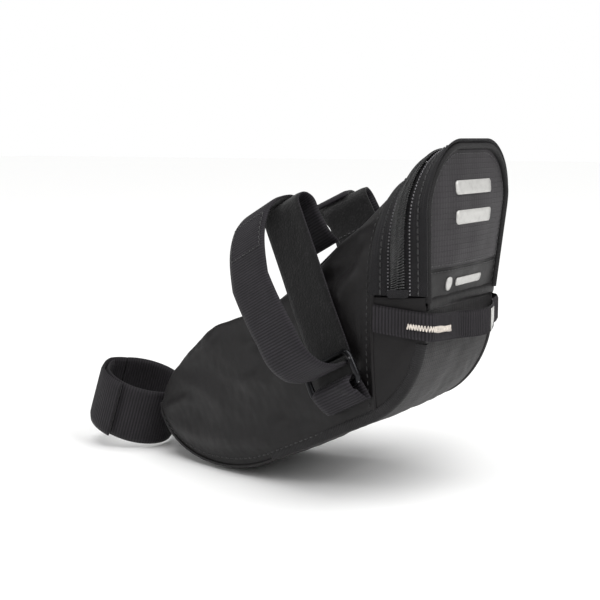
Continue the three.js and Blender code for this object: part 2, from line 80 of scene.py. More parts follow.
# ---- Driving dimensions: read from the frame where it has them ----
REAR_HALF = -low("side_panel_left")[0]
TIP_HALF = high("front_tip_binding")[0]
SEAM_Y = low("side_panel_left")[1]
TIP_Y = high("base_panel_front")[1]
REAR_Y = -62.0  # rear plane before it settles
HINGE_Z = high("corner_panel_left")[2] + 0.5
ZIP_END_Z = low("zip_tape_lid")[2]
ZIP_MID_Y = -52.5
LID_OUT_Y = REAR_Y - 1.5
LID_SPLIT_Z = high("lid_panel_lower")[2]
TIP_Z = -80.5
HEEL_TAPER = 0.1  # the cloth of the heel is drawn in a little more than the model
LEAN, LEAN_Z = 0.057, 12  # millimetres forward for each one down from that height
NARROWING, NARROW_Z = 0.0047, 8  # share of the width lost for each millimetre down from that height
CLOTH = 1.1
ARCH_FRONT = (14.0, 34.0)  # top and radius of the zip band's arch at the side seam
ARCH_REAR = (27.0, 25.0)  # and at the lid
TAPE = 0.9
WEBBING = 1.6
RAIL_STRAP_WIDTH = 20.0
RAIL_HALF_SPACING = 23.0
STRAP_LEAN = math.radians(27)
POST_LEAN = math.radians(19)
POST_AXIS = (93.0, -86.0)
POST_STRAP_WIDTH = 25.0


# ---- Curves ----
def run_along(points):
    """Distance of each point from the first one, along their line."""
    return np.concatenate([[0], np.cumsum(np.linalg.norm(np.diff(points, axis=0), axis=1))])


def join(*coordinates):
    """Points from separate arrays of their coordinates."""
    return np.stack(coordinates, axis=-1)


def unit(vectors):
    return vectors / np.linalg.norm(vectors, axis=-1, keepdims=True)


class Path:
    """A polyline measured by its own length; at(u) takes shares from 0 to 1."""

    REACH = 0.6  # millimetres to each side that a tangent spans

    def __init__(self, points):
        self.points = np.asarray(points, float)
        self.run = run_along(self.points)
        self.length = self.run[-1]

    def at(self, u):
        s = np.clip(np.asarray(u, float), 0, 1) * self.length
        return np.stack([np.interp(s, self.run, c) for c in self.points.T], axis=-1)

    def tangent(self, u):
        u, d = np.asarray(u, float), self.REACH / self.length
        return unit(self.at(np.minimum(u + d, 1)) - self.at(np.maximum(u - d, 0)))

    def normal(self, u):
        """Square to a flat path, on the right of its way."""
        t = self.tangent(u)
        return join(t[:, 1], -t[:, 0])


def spline(points, dense=24):
    """A smooth curve through given points."""
    p = np.asarray(points, float)
    a = np.vstack([p[:1], p, p[-1:]])
    t = np.linspace(0, 1, dense, endpoint=False)[:, None]
    rows = []
    for i in range(len(p) - 1):
        p0, p1, p2, p3 = a[i:i + 4]
        m1, m2 = (p2 - p0) / 2, (p3 - p1) / 2
        rows.append((2 * p1 - 2 * p2 + m1 + m2) * t**3 + (3 * p2 - 3 * p1 - 2 * m1 - m2) * t**2 + m1 * t + p1)
    return Path(np.vstack(rows + [p[-1:]]))


def arc(start, end, radius, count, centre=(0, 0)):
    a = np.radians(np.linspace(start, end, count))
    return join(centre[0] + radius * np.cos(a), centre[1] + radius * np.sin(a))


def bezier(p0, p1, p2, p3, count):
    t = np.linspace(0, 1, count)[:, None]
    p0, p1, p2, p3 = (np.array(p, float) for p in (p0, p1, p2, p3))
    return (1 - t)**3 * p0 + 3 * t * (1 - t)**2 * p1 + 3 * t**2 * (1 - t) * p2 + t**3 * p3


def lerp(a, b, t):
    return a + (b - a) * t


def smooth(edge0, edge1, x):
    t = np.clip((x - edge0) / (edge1 - edge0), 0, 1)
    return t * t * (3 - 2 * t)


def bump(t):
    """0 at both ends, 1 in the middle."""
    return np.clip(np.sin(np.pi * np.clip(t, 0, 1)), 0, 1)


def ripple(a, b, seed, size):
    """Soft random waves of about that size in millimetres, between -1 and 1."""
    rng = np.random.default_rng(seed)
    total = 0
    for _ in range(7):
        angle, phase, scale = rng.uniform(0, 2 * np.pi, 2).tolist() + [rng.uniform(0.6, 1.6)]
        k = 2 * np.pi / (size * scale)
        total = total + np.sin(k * (a * math.cos(angle) + b * math.sin(angle)) + phase)
    return total / 4


def fold(a, b, start, end, width, height):
    """A crease from start to end: a ridge (or a valley, if height is negative) that fades out at its ends."""
    s, e = np.array(start, float), np.array(end, float)
    d = e - s
    t = ((a - s[0]) * d[0] + (b - s[1]) * d[1]) / (d @ d)
    across = (-(a - s[0]) * d[1] + (b - s[1]) * d[0]) / math.hypot(*d)
    return height * np.exp(-(across / width)**2) * smooth(-0.15, 0.25, t) * smooth(1.15, 0.75, t)


def settle(points):
    """The rear of the bag leans forward and narrows towards its foot, as the model's does."""
    x, y, z = np.moveaxis(np.asarray(points, float), -1, 0)
    share = np.clip((SEAM_Y - y) / (SEAM_Y - REAR_Y), 0, 1)
    level = np.maximum(z, HINGE_Z)
    narrow = NARROWING * np.maximum(0, NARROW_Z - level) * share
    narrow = narrow + HEEL_TAPER * smooth(-45, -78, z) * smooth(-8, -45, y) * (np.abs(x) < REAR_HALF + 6)
    return join(x * (1 - narrow), y + LEAN * (LEAN_Z - level) * share, z)


# ---- Mesh helpers ----
def make_object(name, verts, faces, uvs, materials, picks=None):
    """verts in millimetres; uvs: (u, v) in millimetres for each vertex; picks: the material of each face."""
    mesh = bpy.data.meshes.new(name)
    mesh.from_pydata((settle(verts) * MM).tolist(), [], [list(map(int, f)) for f in faces])
    layer = mesh.uv_layers.new(name="cloth")
    loops = np.zeros(len(mesh.loops), int)
    mesh.loops.foreach_get("vertex_index", loops)
    layer.data.foreach_set("uv", np.asarray(uvs, float)[loops].ravel())
    for m in materials:
        mesh.materials.append(m)
    if picks is not None:
        mesh.polygons.foreach_set("material_index", np.asarray(picks, np.int32))
    mesh.polygons.foreach_set("use_smooth", [True] * len(mesh.polygons))
    mesh.update()
    obj = bpy.data.objects.new(name, mesh)
    bpy.context.scene.collection.objects.link(obj)
    return obj


def grid_faces(rows, columns, offset=0, wrap=False):
    i, j = np.meshgrid(np.arange(rows - 1), np.arange(columns if wrap else columns - 1), indexing="ij")
    k = (j + 1) % columns
    quad = join(i * columns + j, (i + 1) * columns + j, (i + 1) * columns + k, i * columns + k)
    return quad.reshape(-1, 4) + offset


def grid_normals(points):
    du, dv = np.gradient(points, axis=0), np.gradient(points, axis=1)
    n = np.cross(du, dv)
    length = np.linalg.norm(n, axis=-1, keepdims=True)
    return n / np.where(length < 1e-9, 1, length)


def cloth_uv(points):
    """Millimetres along and across the cloth, measured on the surface."""
    du = np.linalg.norm(np.diff(points, axis=0), axis=-1).mean(axis=1)
    u = np.concatenate([[0], np.cumsum(du)])[:, None] * np.ones(points.shape[1])
    dv = np.linalg.norm(np.diff(points, axis=1), axis=-1)
    v = np.concatenate([np.zeros((len(points), 1)), np.cumsum(dv, axis=1)], axis=1)
    return join(u, v - v[:, -1:] / 2)


def panel(name, points, thickness, outer, inner=None, uv=None, outward=None):
    """A closed sheet of cloth: points is a grid on its outer face, which looks towards outward."""
    normals = grid_normals(points)
    if outward is not None and (normals[:, :12] * np.asarray(outward, float)).sum() < 0:
        points, normals = points[:, ::-1], -normals[:, ::-1]
        uv = None if uv is None else uv[:, ::-1]
    uv = cloth_uv(points) if uv is None else uv
    rows, columns = points.shape[:2]
    count = rows * columns
    verts = np.vstack([points.reshape(-1, 3), (points - normals * thickness).reshape(-1, 3)])
    face, back = grid_faces(rows, columns), grid_faces(rows, columns, count)[:, ::-1]
    index = np.arange(count).reshape(rows, columns)
    rim = np.concatenate([index[0, :], index[1:, -1], index[-1, -2::-1], index[-2:0:-1, 0]])
    after = np.roll(rim, -1)
    rims = join(rim, rim + count, after + count, after)[:, ::-1]
    probe = np.cross(verts[after[0]] - verts[rim[0]], normals.reshape(-1, 3)[rim[0]])
    middle = points.reshape(-1, 3).mean(axis=0)
    if probe @ (verts[rim[0]] - middle) > 0:
        rims = rims[:, ::-1]
    faces = np.vstack([face, back, rims])
    picks = [0] * len(face) + [1 if inner else 0] * len(back) + [0] * len(rims)
    uvs = np.vstack([uv.reshape(-1, 2)] * 2)
    return make_object(name, verts, faces, uvs, [outer] + ([inner] if inner else []), picks)


def mirror(points):
    return points * np.array([-1, 1, 1])


def tube(name, centre, radius, sides, material, closed=False, up=(0, 0, 1), squash=1.0):
    """A round bar along a line of points; squash flattens it along up."""
    centre = np.asarray(centre, float)
    tangent = unit(np.roll(centre, -1, 0) - np.roll(centre, 1, 0) if closed else np.gradient(centre, axis=0))
    side = unit(np.cross(tangent, np.broadcast_to(np.asarray(up, float), centre.shape)))
    top = np.cross(side, tangent)
    a = np.linspace(0, 2 * np.pi, sides, endpoint=False)
    radius = np.broadcast_to(radius, len(centre))[:, None, None]
    spokes = np.cos(a)[:, None] * side[:, None] + squash * np.sin(a)[:, None] * top[:, None]
    points = centre[:, None] + radius * spokes
    rows = len(centre)
    faces = [list(f) for f in grid_faces(rows, sides, wrap=True)]
    if closed:
        last = (rows - 1) * sides
        faces += [[last + j, j, (j + 1) % sides, last + (j + 1) % sides] for j in range(sides)]
    else:
        faces += [list(range(sides)), list(range(rows * sides - 1, (rows - 1) * sides - 1, -1))]
    uvs = np.stack(np.broadcast_arrays(run_along(centre)[:, None], a[None]), axis=-1).reshape(-1, 2)
    return verts_outward(name, points.reshape(-1, 3), faces, uvs, [material])


def verts_outward(name, verts, faces, uvs, materials, picks=None):
    """Makes the object with its faces turned so that it encloses a positive volume."""
    volume = 0.0
    for f in faces:
        for k in range(1, len(f) - 1):
            volume += np.dot(verts[f[0]], np.cross(verts[f[k]], verts[f[k + 1]]))
    if volume < 0:
        faces = [list(f)[::-1] for f in faces]
    return make_object(name, verts, faces, uvs, materials, picks)


def ribbon(name, centre, side, width, thickness, faces_of, ribs, across=9):
    """A webbing strap. centre and side are arrays along it; faces_of is (left, right) materials.

    The left face looks along tangent x side. ribs is (pitch, depth, left, right) of the woven cross ribs.
    """
    centre, side = np.asarray(centre, float), np.asarray(side, float)
    normal = unit(np.cross(unit(np.gradient(centre, axis=0)), side))
    run = run_along(centre)
    t = np.linspace(-1, 1, across)
    spread = np.sign(t) * np.abs(t)**0.8
    half = thickness / 2 * np.sqrt(np.clip(1 - 0.75 * np.abs(spread)**10, 0, 1))
    pitch, depth, left, right = ribs
    wave = np.abs(np.sin(np.pi * run / pitch))[:, None] * (np.abs(spread) < 0.93) * depth
    body = centre[:, None] + side[:, None] * (spread * width / 2)[None, :, None]
    left_face = body + normal[:, None] * (half + (wave - depth) * left)[..., None]
    right_face = body - normal[:, None] * (half + (wave - depth) * right)[..., None]
    loop = np.concatenate([left_face, right_face[:, ::-1]], axis=1)
    columns = 2 * across
    faces = [list(f) for f in grid_faces(len(run), columns, wrap=True)]
    picks = ([0] * (across - 1) + [1] + [1] * (across - 1) + [0]) * (len(run) - 1)
    last = (len(run) - 1) * columns
    for k in range(across - 1):
        mate = columns - 1 - k
        faces += [[k, k + 1, mate - 1, mate], [last + mate, last + mate - 1, last + k + 1, last + k]]
        picks += [0, 0]
    v = np.concatenate([spread, spread[::-1]]) * width / 2
    uvs = np.stack(np.broadcast_arrays(run[:, None], v[None]), axis=-1).reshape(-1, 2)
    return verts_outward(name, loop.reshape(-1, 3), faces, uvs, list(faces_of), picks)


def stitches(name, lines, material, pitch=2.6, length=2.0, radius=0.16, sink=0.05):
    """Lockstitch seams: lines is a list of (points, normals); each stitch is a short arched thread."""
    verts, faces, uvs = [], [], []
    rings, sides = 5, 5
    a = np.linspace(0, 2 * np.pi, sides, endpoint=False)
    for points, normals in lines:
        path, up = Path(points), np.asarray(normals, float)
        share = path.run / path.length
        count = max(1, int(path.length / pitch))
        for i in range(count):
            u = (i + 0.5 + np.linspace(-0.5, 0.5, rings) * length / pitch) / count
            c = path.at(u)
            n = unit(np.stack([np.interp(u, share, k) for k in up.T], axis=-1))
            t = c[-1] - c[0]
            t /= np.linalg.norm(t)
            s = np.cross(n, t)
            height = radius * np.array([-0.8, 0.75, 1.0, 0.75, -0.8]) - sink
            c = c + n * height[:, None]
            size = radius * np.array([0.55, 1.0, 1.0, 1.0, 0.55])
            spokes = np.cos(a)[:, None] * s[:, None] + np.sin(a)[:, None] * n[:, None]
            base, end = len(verts), len(verts) + rings * sides
            verts += (c[:, None] + size[:, None, None] * spokes).reshape(-1, 3).tolist()
            faces += [list(f) for f in grid_faces(rings, sides, base, wrap=True)[:, ::-1]]
            faces += [list(range(base, base + sides)), list(range(end - 1, end - 1 - sides, -1))]
            uvs += [[i * pitch, 0.0]] * (rings * sides)
    return make_object(name, verts, faces, uvs, [material])


def plate(name, outline, surface, thickness, material, rings=5):
    """A thin patch of an (x, z) outline laid on surface(x, z) -> y, with its face to the rear."""
    outline = np.asarray(outline, float)
    centre = outline.mean(axis=0)
    scales = np.linspace(0, 1, rings + 1)[1:]
    flat = np.vstack([[centre]] + [centre + (outline - centre) * s for s in scales])
    count, n = len(flat), len(outline)
    y = surface(flat[:, 0], flat[:, 1])
    face = join(flat[:, 0], y - thickness, flat[:, 1])
    back = join(flat[:, 0], y + 0.05, flat[:, 1])
    faces = [[0, 1 + k, 1 + (k + 1) % n] for k in range(n)]
    for r in range(rings - 1):
        a, b = 1 + r * n, 1 + (r + 1) * n
        faces += [[a + k, b + k, b + (k + 1) % n, a + (k + 1) % n] for k in range(n)]
    faces += [[count + i for i in f[::-1]] for f in faces]
    last = 1 + (rings - 1) * n
    faces += [[last + (k + 1) % n, last + k, count + last + k, count + last + (k + 1) % n] for k in range(n)]
    return verts_outward(name, np.vstack([face, back]), faces, np.vstack([flat, flat]), [material])


def rounded_bar(width, height, radius, x, z):
    """Outline of a bar with rounded corners, centred on (x, z)."""
    rx, rz = width / 2 - radius, height / 2 - radius
    corners = [(rx, -rz, -90), (rx, rz, 0), (-rx, rz, 90), (-rx, -rz, 180)]
    return np.vstack([arc(a, a + 90, radius, 7, (x + cx, z + cz)) for cx, cz, a in corners])


def block(name, outline, inner, outer, material, edge=0.3):
    """A flat piece with softened edges: a (y, z) outline that runs from x = inner to x = outer."""
    outline = np.asarray(outline, float)
    middle = outline.mean(axis=0)
    reach = np.linalg.norm(outline - middle, axis=1, keepdims=True)
    toward = (outline - middle) / reach
    rings, soft = [], edge * 0.3
    for inset, share in ((edge, 0), (soft, soft), (0, edge), (0, -edge), (soft, -soft), (edge, 0)):
        base = inner if len(rings) < 3 else outer
        x = base + share * np.sign(outer - inner)
        rings.append(np.column_stack([np.full(len(outline), x), outline - toward * inset]))
    n = len(outline)
    faces = [list(f) for f in grid_faces(len(rings), n, wrap=True)]
    faces += [list(range(n)), list(range(len(rings) * n - 1, (len(rings) - 1) * n - 1, -1))]
    verts = np.vstack(rings)
    return verts_outward(name, verts, faces, verts[:, 1:], [material])


# ---- Materials ----
class Shader:
    """A Principled material whose patterns are measured in millimetres on the cloth."""

    def __init__(self, name, roughness, **settings):
        self.material = bpy.data.materials.new(name)
        self.material.use_nodes = True
        self.tree = self.material.node_tree
        self.bsdf = self.tree.nodes["Principled BSDF"]
        self.bsdf.inputs["Roughness"].default_value = roughness
        for socket, value in settings.items():
            self.bsdf.inputs[socket.replace("_", " ")].default_value = value
        uv = self.node("ShaderNodeUVMap")
        uv.uv_map = "cloth"
        split = self.node("ShaderNodeSeparateXYZ")
        self.link(uv.outputs[0], split.inputs[0])
        self.uv, self.along, self.over = uv.outputs[0], split.outputs[0], split.outputs[1]
        self.place = self.node("ShaderNodeTexCoord").outputs["Object"]

    def node(self, kind, **settings):
        made = self.tree.nodes.new(kind)
        for key, value in settings.items():
            setattr(made, key, value)
        return made

    def link(self, a, b):
        self.tree.links.new(a, b)

    def math(self, operation, a, b=0.0, clamp=False):
        made = self.node("ShaderNodeMath", operation=operation, use_clamp=clamp)
        for socket, value in zip(made.inputs, (a, b)):
            if isinstance(value, (int, float)):
                socket.default_value = value
            else:
                self.link(value, socket)
        return made.outputs[0]

    def times(self, a, b):
        return self.math("MULTIPLY", a, b)

    def plus(self, a, b):
        return self.math("ADD", a, b)

    def wave(self, coordinate, pitch, phase=0.0):
        """Sine of that pitch in millimetres, from -1 to 1."""
        return self.math("SINE", self.plus(self.times(coordinate, 2 * math.pi / pitch), phase))

    def swell(self, coordinate, pitch):
        """The same wave, from 0 to 1."""
        return self.plus(self.times(self.wave(coordinate, pitch), 0.5), 0.5)

    def noise(self, size, detail=2.0, stretch=(1, 1, 1)):
        """Noise of about that size in millimetres, from 0 to 1."""
        mapping = self.node("ShaderNodeMapping")
        self.link(self.place, mapping.inputs[0])
        mapping.inputs["Scale"].default_value = [1000 / size * s for s in stretch]
        made = self.node("ShaderNodeTexNoise")
        made.inputs["Scale"].default_value = 1.0
        made.inputs["Detail"].default_value = detail
        self.link(mapping.outputs[0], made.inputs["Vector"])
        return made.outputs[0]

    def ramp(self, value, stops):
        made = self.node("ShaderNodeValToRGB")
        elements = made.color_ramp.elements
        while len(elements) < len(stops):
            elements.new(0.5)
        for element, (position, color) in zip(elements, stops):
            element.position = position
            element.color = (*color, 1)
        self.link(value, made.inputs[0])
        return made.outputs[0]

    def mix(self, share, a, b):
        made = self.node("ShaderNodeMix", data_type="RGBA")
        self.link(share, made.inputs[0])
        for socket, value in ((made.inputs[6], a), (made.inputs[7], b)):
            if isinstance(value, tuple):
                socket.default_value = (*value, 1)
            else:
                self.link(value, socket)
        return made.outputs[2]

    def color(self, value):
        self.link(value, self.bsdf.inputs["Base Color"])

    def rough(self, value, lowest, highest):
        self.link(self.plus(self.times(value, highest - lowest), lowest), self.bsdf.inputs["Roughness"])

    def relief(self, height, distance, strength=1.0):
        """Bump from a height of 0 to 1 that stands for that many millimetres."""
        made = self.node("ShaderNodeBump")
        made.inputs["Strength"].default_value = strength
        made.inputs["Distance"].default_value = distance * MM
        self.link(height, made.inputs["Height"])
        self.link(made.outputs[0], self.bsdf.inputs["Normal"])


def srgb(r, g, b):
    """A linear colour from 0-255 display values."""
    return tuple(((c / 255 + 0.055) / 1.055)**2.4 if c > 10 else c / 255 / 12.92 for c in (r, g, b))


def shade(color, factor):
    return tuple(c * factor for c in color)


def plain_weave(s, pitch):
    crossed = s.times(s.wave(s.along, pitch), s.wave(s.over, pitch))
    return s.plus(s.times(crossed, 0.5), 0.5)


def tone(s, color, size=9.0, contrast=0.25, grain=None):
    """Base colour with soft blotches and, if asked, a fine grain."""
    soft = s.ramp(s.noise(size, 3.0), [(0.3, shade(color, 1 - contrast)), (0.7, shade(color, 1 + contrast))])
    if grain is None:
        return soft
    return s.mix(s.times(grain, 0.55), soft, shade(color, 1.7))


def smooth_nylon(name, color, roughness):
    s = Shader(name, roughness, Sheen_Weight=0.02, Sheen_Roughness=0.45, Specular_IOR_Level=0.24)
    weave = plain_weave(s, 0.5)
    s.color(tone(s, color, 14.0, 0.18, s.times(weave, 0.35)))
    s.rough(s.noise(5.0, 3.0), roughness - 0.07, roughness + 0.1)
    height = s.plus(s.times(weave, 0.25), s.noise(2.2, 3.0))
    s.relief(height, 0.16, 0.7)
    return s.material


def ripstop(name, color, pitch=1.9, roughness=0.62):
    s = Shader(name, roughness, Sheen_Weight=0.06, Sheen_Roughness=0.5, Specular_IOR_Level=0.3)
    lines = [s.math("POWER", s.swell(coordinate, pitch), 9.0) for coordinate in (s.along, s.over)]
    grid = s.math("MAXIMUM", lines[0], lines[1])
    weave = plain_weave(s, 0.55)
    height = s.plus(s.times(grid, 0.7), s.times(weave, 0.3))
    worn = s.times(height, s.noise(1.1, 2.0))
    dashes = s.times(lines[0], s.math("GREATER_THAN", s.wave(s.over, pitch, 1.0), -0.2))
    cloth = tone(s, color, 11.0, 0.2, worn)
    s.color(s.mix(s.math("MULTIPLY", dashes, 0.75, clamp=True), cloth, shade(color, 0.22)))
    s.rough(s.noise(6.0, 3.0), roughness - 0.06, roughness + 0.1)
    s.relief(height, 0.12, 0.8)
    return s.material


def webbing(name, color, rib, yarn=0.42, roughness=0.7):
    """Ribs are in the mesh; this adds the yarns that cross them and the woven selvedge, and paints shade into
    the furrows between the ribs.
    """
    s = Shader(name, roughness, Sheen_Weight=0.06, Sheen_Roughness=0.4, Specular_IOR_Level=0.25)
    yarns = s.swell(s.over, yarn)
    fuzz = s.noise(0.7, 3.0)
    height = s.plus(s.times(yarns, 0.4), s.times(fuzz, 0.6))
    woven = tone(s, color, 6.0, 0.22, s.times(height, 0.6))
    # Painted shade: the colour darkens in the furrows between the ribs, in step with the ribs of the mesh.
    crest = s.math("ABSOLUTE", s.wave(s.along, 2 * rib))
    painted_furrow_shade = s.math("SUBTRACT", 1.0, s.math("POWER", crest, 1.5))
    s.color(s.mix(painted_furrow_shade, woven, shade(color, 0.15)))
    s.rough(fuzz, roughness - 0.08, roughness + 0.12)
    s.relief(height, 0.14, 0.8)
    return s.material


def pile(name, color):
    """Loop side of hook-and-loop webbing: a matted fuzz, with painted shade in its hollows and painted
    highlights on its tufts.
    """
    s = Shader(name, 0.95, Sheen_Weight=0.16, Sheen_Roughness=0.6, Specular_IOR_Level=0.12)
    fuzz = s.noise(0.75, 4.0)
    clumps = s.noise(2.4, 2.0, stretch=(1, 1, 0.6))
    height = s.plus(s.times(fuzz, 0.7), s.times(clumps, 0.4))
    # Colour follows the fuzz's height: painted shade down to 0.3 in the low places, painted highlight up to
    # four times brighter on the high tufts.
    s.color(s.ramp(height, [(0.4, shade(color, 0.3)), (0.6, color), (0.78, shade(color, 4.0))]))
    s.relief(height, 0.5, 0.9)
    return s.material


def grosgrain(name, color, pitch=0.8):
    s = Shader(name, 0.68, Sheen_Weight=0.05, Sheen_Roughness=0.4, Specular_IOR_Level=0.25)
    ribs = s.swell(s.along, pitch)
    s.color(tone(s, color, 5.0, 0.2, s.times(ribs, 0.5)))
    s.relief(s.plus(ribs, s.times(s.noise(0.6, 2.0), 0.4)), 0.14, 0.9)
    return s.material


def zip_tape(name, color):
    """Chevron twill."""
    s = Shader(name, 0.75, Sheen_Weight=0.05, Sheen_Roughness=0.5, Specular_IOR_Level=0.22)
    row = 1.6
    chevron = s.math("ABSOLUTE", s.math("SUBTRACT", s.math("FRACT", s.times(s.over, 1 / row)), 0.5))
    slant = s.plus(s.along, s.times(chevron, row))
    twill = s.swell(slant, 0.75)
    s.color(tone(s, color, 5.0, 0.2, s.times(twill, 0.55)))
    s.relief(s.plus(twill, s.times(s.noise(0.5, 2.0), 0.4)), 0.12, 0.9)
    return s.material


def coil_nylon(name, color):
    s = Shader(name, 0.26, Specular_IOR_Level=0.6, Coat_Weight=0.25, Coat_Roughness=0.15)
    s.color(tone(s, color, 3.0, 0.25))
    s.rough(s.noise(1.4, 2.0), 0.18, 0.36)
    s.relief(s.noise(0.4, 2.0), 0.03, 0.5)
    return s.material


def reflective(name, color):
    """Silver glass-bead film with a faint honeycomb of tiny cells and a few scuffs."""
    s = Shader(name, 0.42, Metallic=0.25, Specular_IOR_Level=0.5)
    cells = s.node("ShaderNodeTexVoronoi", feature="DISTANCE_TO_EDGE")
    mapping = s.node("ShaderNodeMapping")
    s.link(s.uv, mapping.inputs[0])
    mapping.inputs["Scale"].default_value = (1.6, 1.6, 1.6)
    s.link(mapping.outputs[0], cells.inputs["Vector"])
    cells.inputs["Scale"].default_value = 1.0
    scuff = s.times(s.math("POWER", s.noise(2.2, 4.0), 3.0), 0.9)
    s.color(s.mix(scuff, color, shade(color, 0.45)))
    s.rough(s.noise(1.2, 3.0), 0.34, 0.5)
    s.relief(cells.outputs["Distance"], 0.05, 0.6)
    return s.material


def thread(name, color, roughness=0.55):
    s = Shader(name, roughness, Sheen_Weight=0.3, Specular_IOR_Level=0.4)
    s.color(tone(s, color, 1.2, 0.3))
    s.relief(s.noise(0.3, 2.0), 0.06, 0.8)
    return s.material


def black_metal(name, color):
    """Black plating with small patches of bright metal, part rubbed-through scuffs and part painted glints.
    """
    s = Shader(name, 0.3, Metallic=0.85, Specular_IOR_Level=0.5)
    # Bright patches of metal from noise: part scuffs, part painted glints.
    scuffs_and_glints = s.node("ShaderNodeMapRange")
    scuffs_and_glints.inputs["From Min"].default_value = 0.62
    scuffs_and_glints.inputs["From Max"].default_value = 0.72
    s.link(s.noise(1.7, 4.0), scuffs_and_glints.inputs["Value"])
    s.color(s.mix(scuffs_and_glints.outputs[0], color, srgb(150, 150, 152)))
    s.rough(s.noise(0.9, 3.0), 0.22, 0.42)
    s.relief(s.noise(0.5, 3.0), 0.04, 0.5)
    return s.material


def foam(name, color):
    s = Shader(name, 0.9, Specular_IOR_Level=0.2)
    cells = s.noise(0.6, 3.0)
    s.color(tone(s, color, 4.0, 0.2, s.times(cells, 0.4)))
    s.relief(cells, 0.2, 0.8)
    return s.material


NYLON = smooth_nylon("smooth_nylon", srgb(16, 14, 15), 0.44)
RIPSTOP = ripstop("ripstop_nylon", srgb(36, 33, 36))
RIPSTOP_BASE = ripstop("ripstop_nylon_base", srgb(27, 25, 26))
LINING = smooth_nylon("lining", srgb(44, 43, 46), 0.6)
WEB = webbing("webbing", srgb(36, 33, 38), rib=1.05)
WEB_POST = webbing("webbing_post", srgb(34, 31, 35), rib=1.2)
WEB_LOOP = webbing("webbing_loop", srgb(36, 33, 37), rib=1.25)
PILE = pile("strap_pile", srgb(15, 14, 15))
BINDING = grosgrain("grosgrain", srgb(27, 26, 27))
WELT_CLOTH = grosgrain("grosgrain_welt", srgb(24, 23, 24), 0.6)
TAPE_CLOTH = zip_tape("zip_tape", srgb(23, 22, 24))
COIL = coil_nylon("zip_coil", srgb(12, 12, 13))
SILVER = reflective("reflective_print", srgb(198, 197, 194))
CREAM = thread("pale_thread", srgb(205, 196, 186))
DARK_THREAD = thread("dark_thread", srgb(17, 16, 18))
# Light grey thread: the zip's real stitching, whose pale colour also paints the highlight dots along the
# coil's edges.
GREY_THREAD_AND_HIGHLIGHT = thread("grey_thread_painted_highlight", srgb(120, 118, 122), 0.4)
METAL = black_metal("black_metal", srgb(38, 38, 40))
FOAM = foam("foam", srgb(60, 60, 64))


def finish_piece(obj, body, slot, *nodes):
    """Rides a piece on its body and hides the CAD nodes it stands for; slot is not used."""
    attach(obj, body)
    if nodes:
        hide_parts(*nodes)
    return obj


OUTSIDE = {"left": (-1, 0, 0), "right": (1, 0, 0)}


# ---- Bag outline, seen from the side ----
HEEL_RADIUS = 38.0
HEEL = (REAR_Y + HEEL_RADIUS, -38.0)
HEEL_END = 180 + 64.5
LOBE_START = (8.0, -95.4)
UNDERSIDE = Path(np.vstack([
    [(REAR_Y, HINGE_Z - 0.5)],
    arc(180, HEEL_END, HEEL_RADIUS, 80, HEEL),
    bezier(LOBE_START, (36, -108.8), (TIP_Y, -101.5), (TIP_Y, TIP_Z), 120),
]))
RIDGE = spline([(TIP_Y, TIP_Z), (65, -69), (50, -55.2), (38, -45.8), (26, -41), (10, -34), (-10, -17),
                (SEAM_Y, ARCH_FRONT[0])])


def half_width(y):
    return lerp(TIP_HALF, REAR_HALF, np.minimum(1, (TIP_Y - y) / (TIP_Y - SEAM_Y)))


def shoulder(y):
    """Radius of the top's rounded edge, which widens from the tip's towards the zip's."""
    start_y, least = 26, 2.5
    share = np.clip((start_y - y) / (start_y - SEAM_Y), 0, 1)
    return least + (ARCH_FRONT[1] - least) * share**1.3


def underside_share(y):
    shares = np.linspace(0.1, 0.8, 400)
    return float(np.interp(y, UNDERSIDE.at(shares)[:, 0], shares))


def underside_offset(share, inward):
    return UNDERSIDE.at(share) - UNDERSIDE.normal(share) * np.asarray(inward).reshape(-1, 1)


# ---- Shell: both sides and the top, one lofted piece of cloth ----
SHELL_ROWS, SIDE_COLUMNS, ARC_COLUMNS, FLAT_COLUMNS = 150, 90, 26, 12
SHOULDER, CROWN = 0.4, 0.2  # shares of an arch that one shoulder and the flat crown take
CREASES = [  # start, end, width and height of each, on the side seen from the left
    ((68, -84), (50, -76), 2.2, 1.3), ((57, -64), (36, -49), 2.8, 1.5), ((64, -70), (34, -73), 4.5, 1.1),
    ((60, -93), (22, -88), 5.0, 1.0), ((-12, -14), (-42, -1), 2.6, 2.0), ((-14, -25), (-41, -13), 3.0, -1.6),
    ((-26, -30), (-40, -8), 2.6, 1.7), ((-37, -56), (-39, -24), 2.4, 1.3), ((-28, -79), (14, -92), 3.6, 1.2),
    ((-20, -75), (4, -78), 3.0, -1.2), ((-8, -58), (24, -67), 4.0, 1.3), ((-6, -44), (24, -51), 3.6, -1.1),
    ((6, -85), (46, -98), 3.6, 0.9)]


def side_relief(y, z, a, b, seed):
    """How far the cloth stands out from the flat side, with its creases."""
    edge = bump(a * 0.5 + 0.5 * smooth(0, 0.12, a))**0.5 * smooth(0, 0.22, b) * smooth(0, 0.1, a)
    puff = 3.0 * edge * smooth(-34, 20, y) * smooth(1.15, 0.5, b) + 0.8 * edge
    held = 1 - 0.9 * np.exp(-((y + 20 + 0.42 * (z + 62)) / 15)**2) * smooth(-86, -70, z)
    creases = sum(fold(y, z, *crease) for crease in CREASES)
    waves = 0.6 * ripple(y, z, seed, 36) + 0.3 * ripple(y, z, seed + 1, 14) + 0.12 * ripple(y, z, seed + 2, 6)
    return puff * held + edge**0.5 * (1.5 * creases + waves) * lerp(0.4, 1, held)


def over_shoulders(v, half, top, radius):
    """Point and normal of the arch at share v of its way from left to right."""
    left, right = v < SHOULDER, v > 1 - SHOULDER
    falling = np.pi / 2 * (1 - (v - (1 - SHOULDER)) / SHOULDER)
    angle = np.where(left, np.pi - v / SHOULDER * np.pi / 2, np.where(right, falling, np.pi / 2))
    crown = lerp(-half + radius, half - radius, (v - SHOULDER) / CROWN)
    flat = np.where(left, -half + radius, np.where(right, half - radius, crown))
    nx, nz = np.cos(angle), np.sin(angle)
    return flat + radius * nx, top - radius + radius * nz, nx, nz


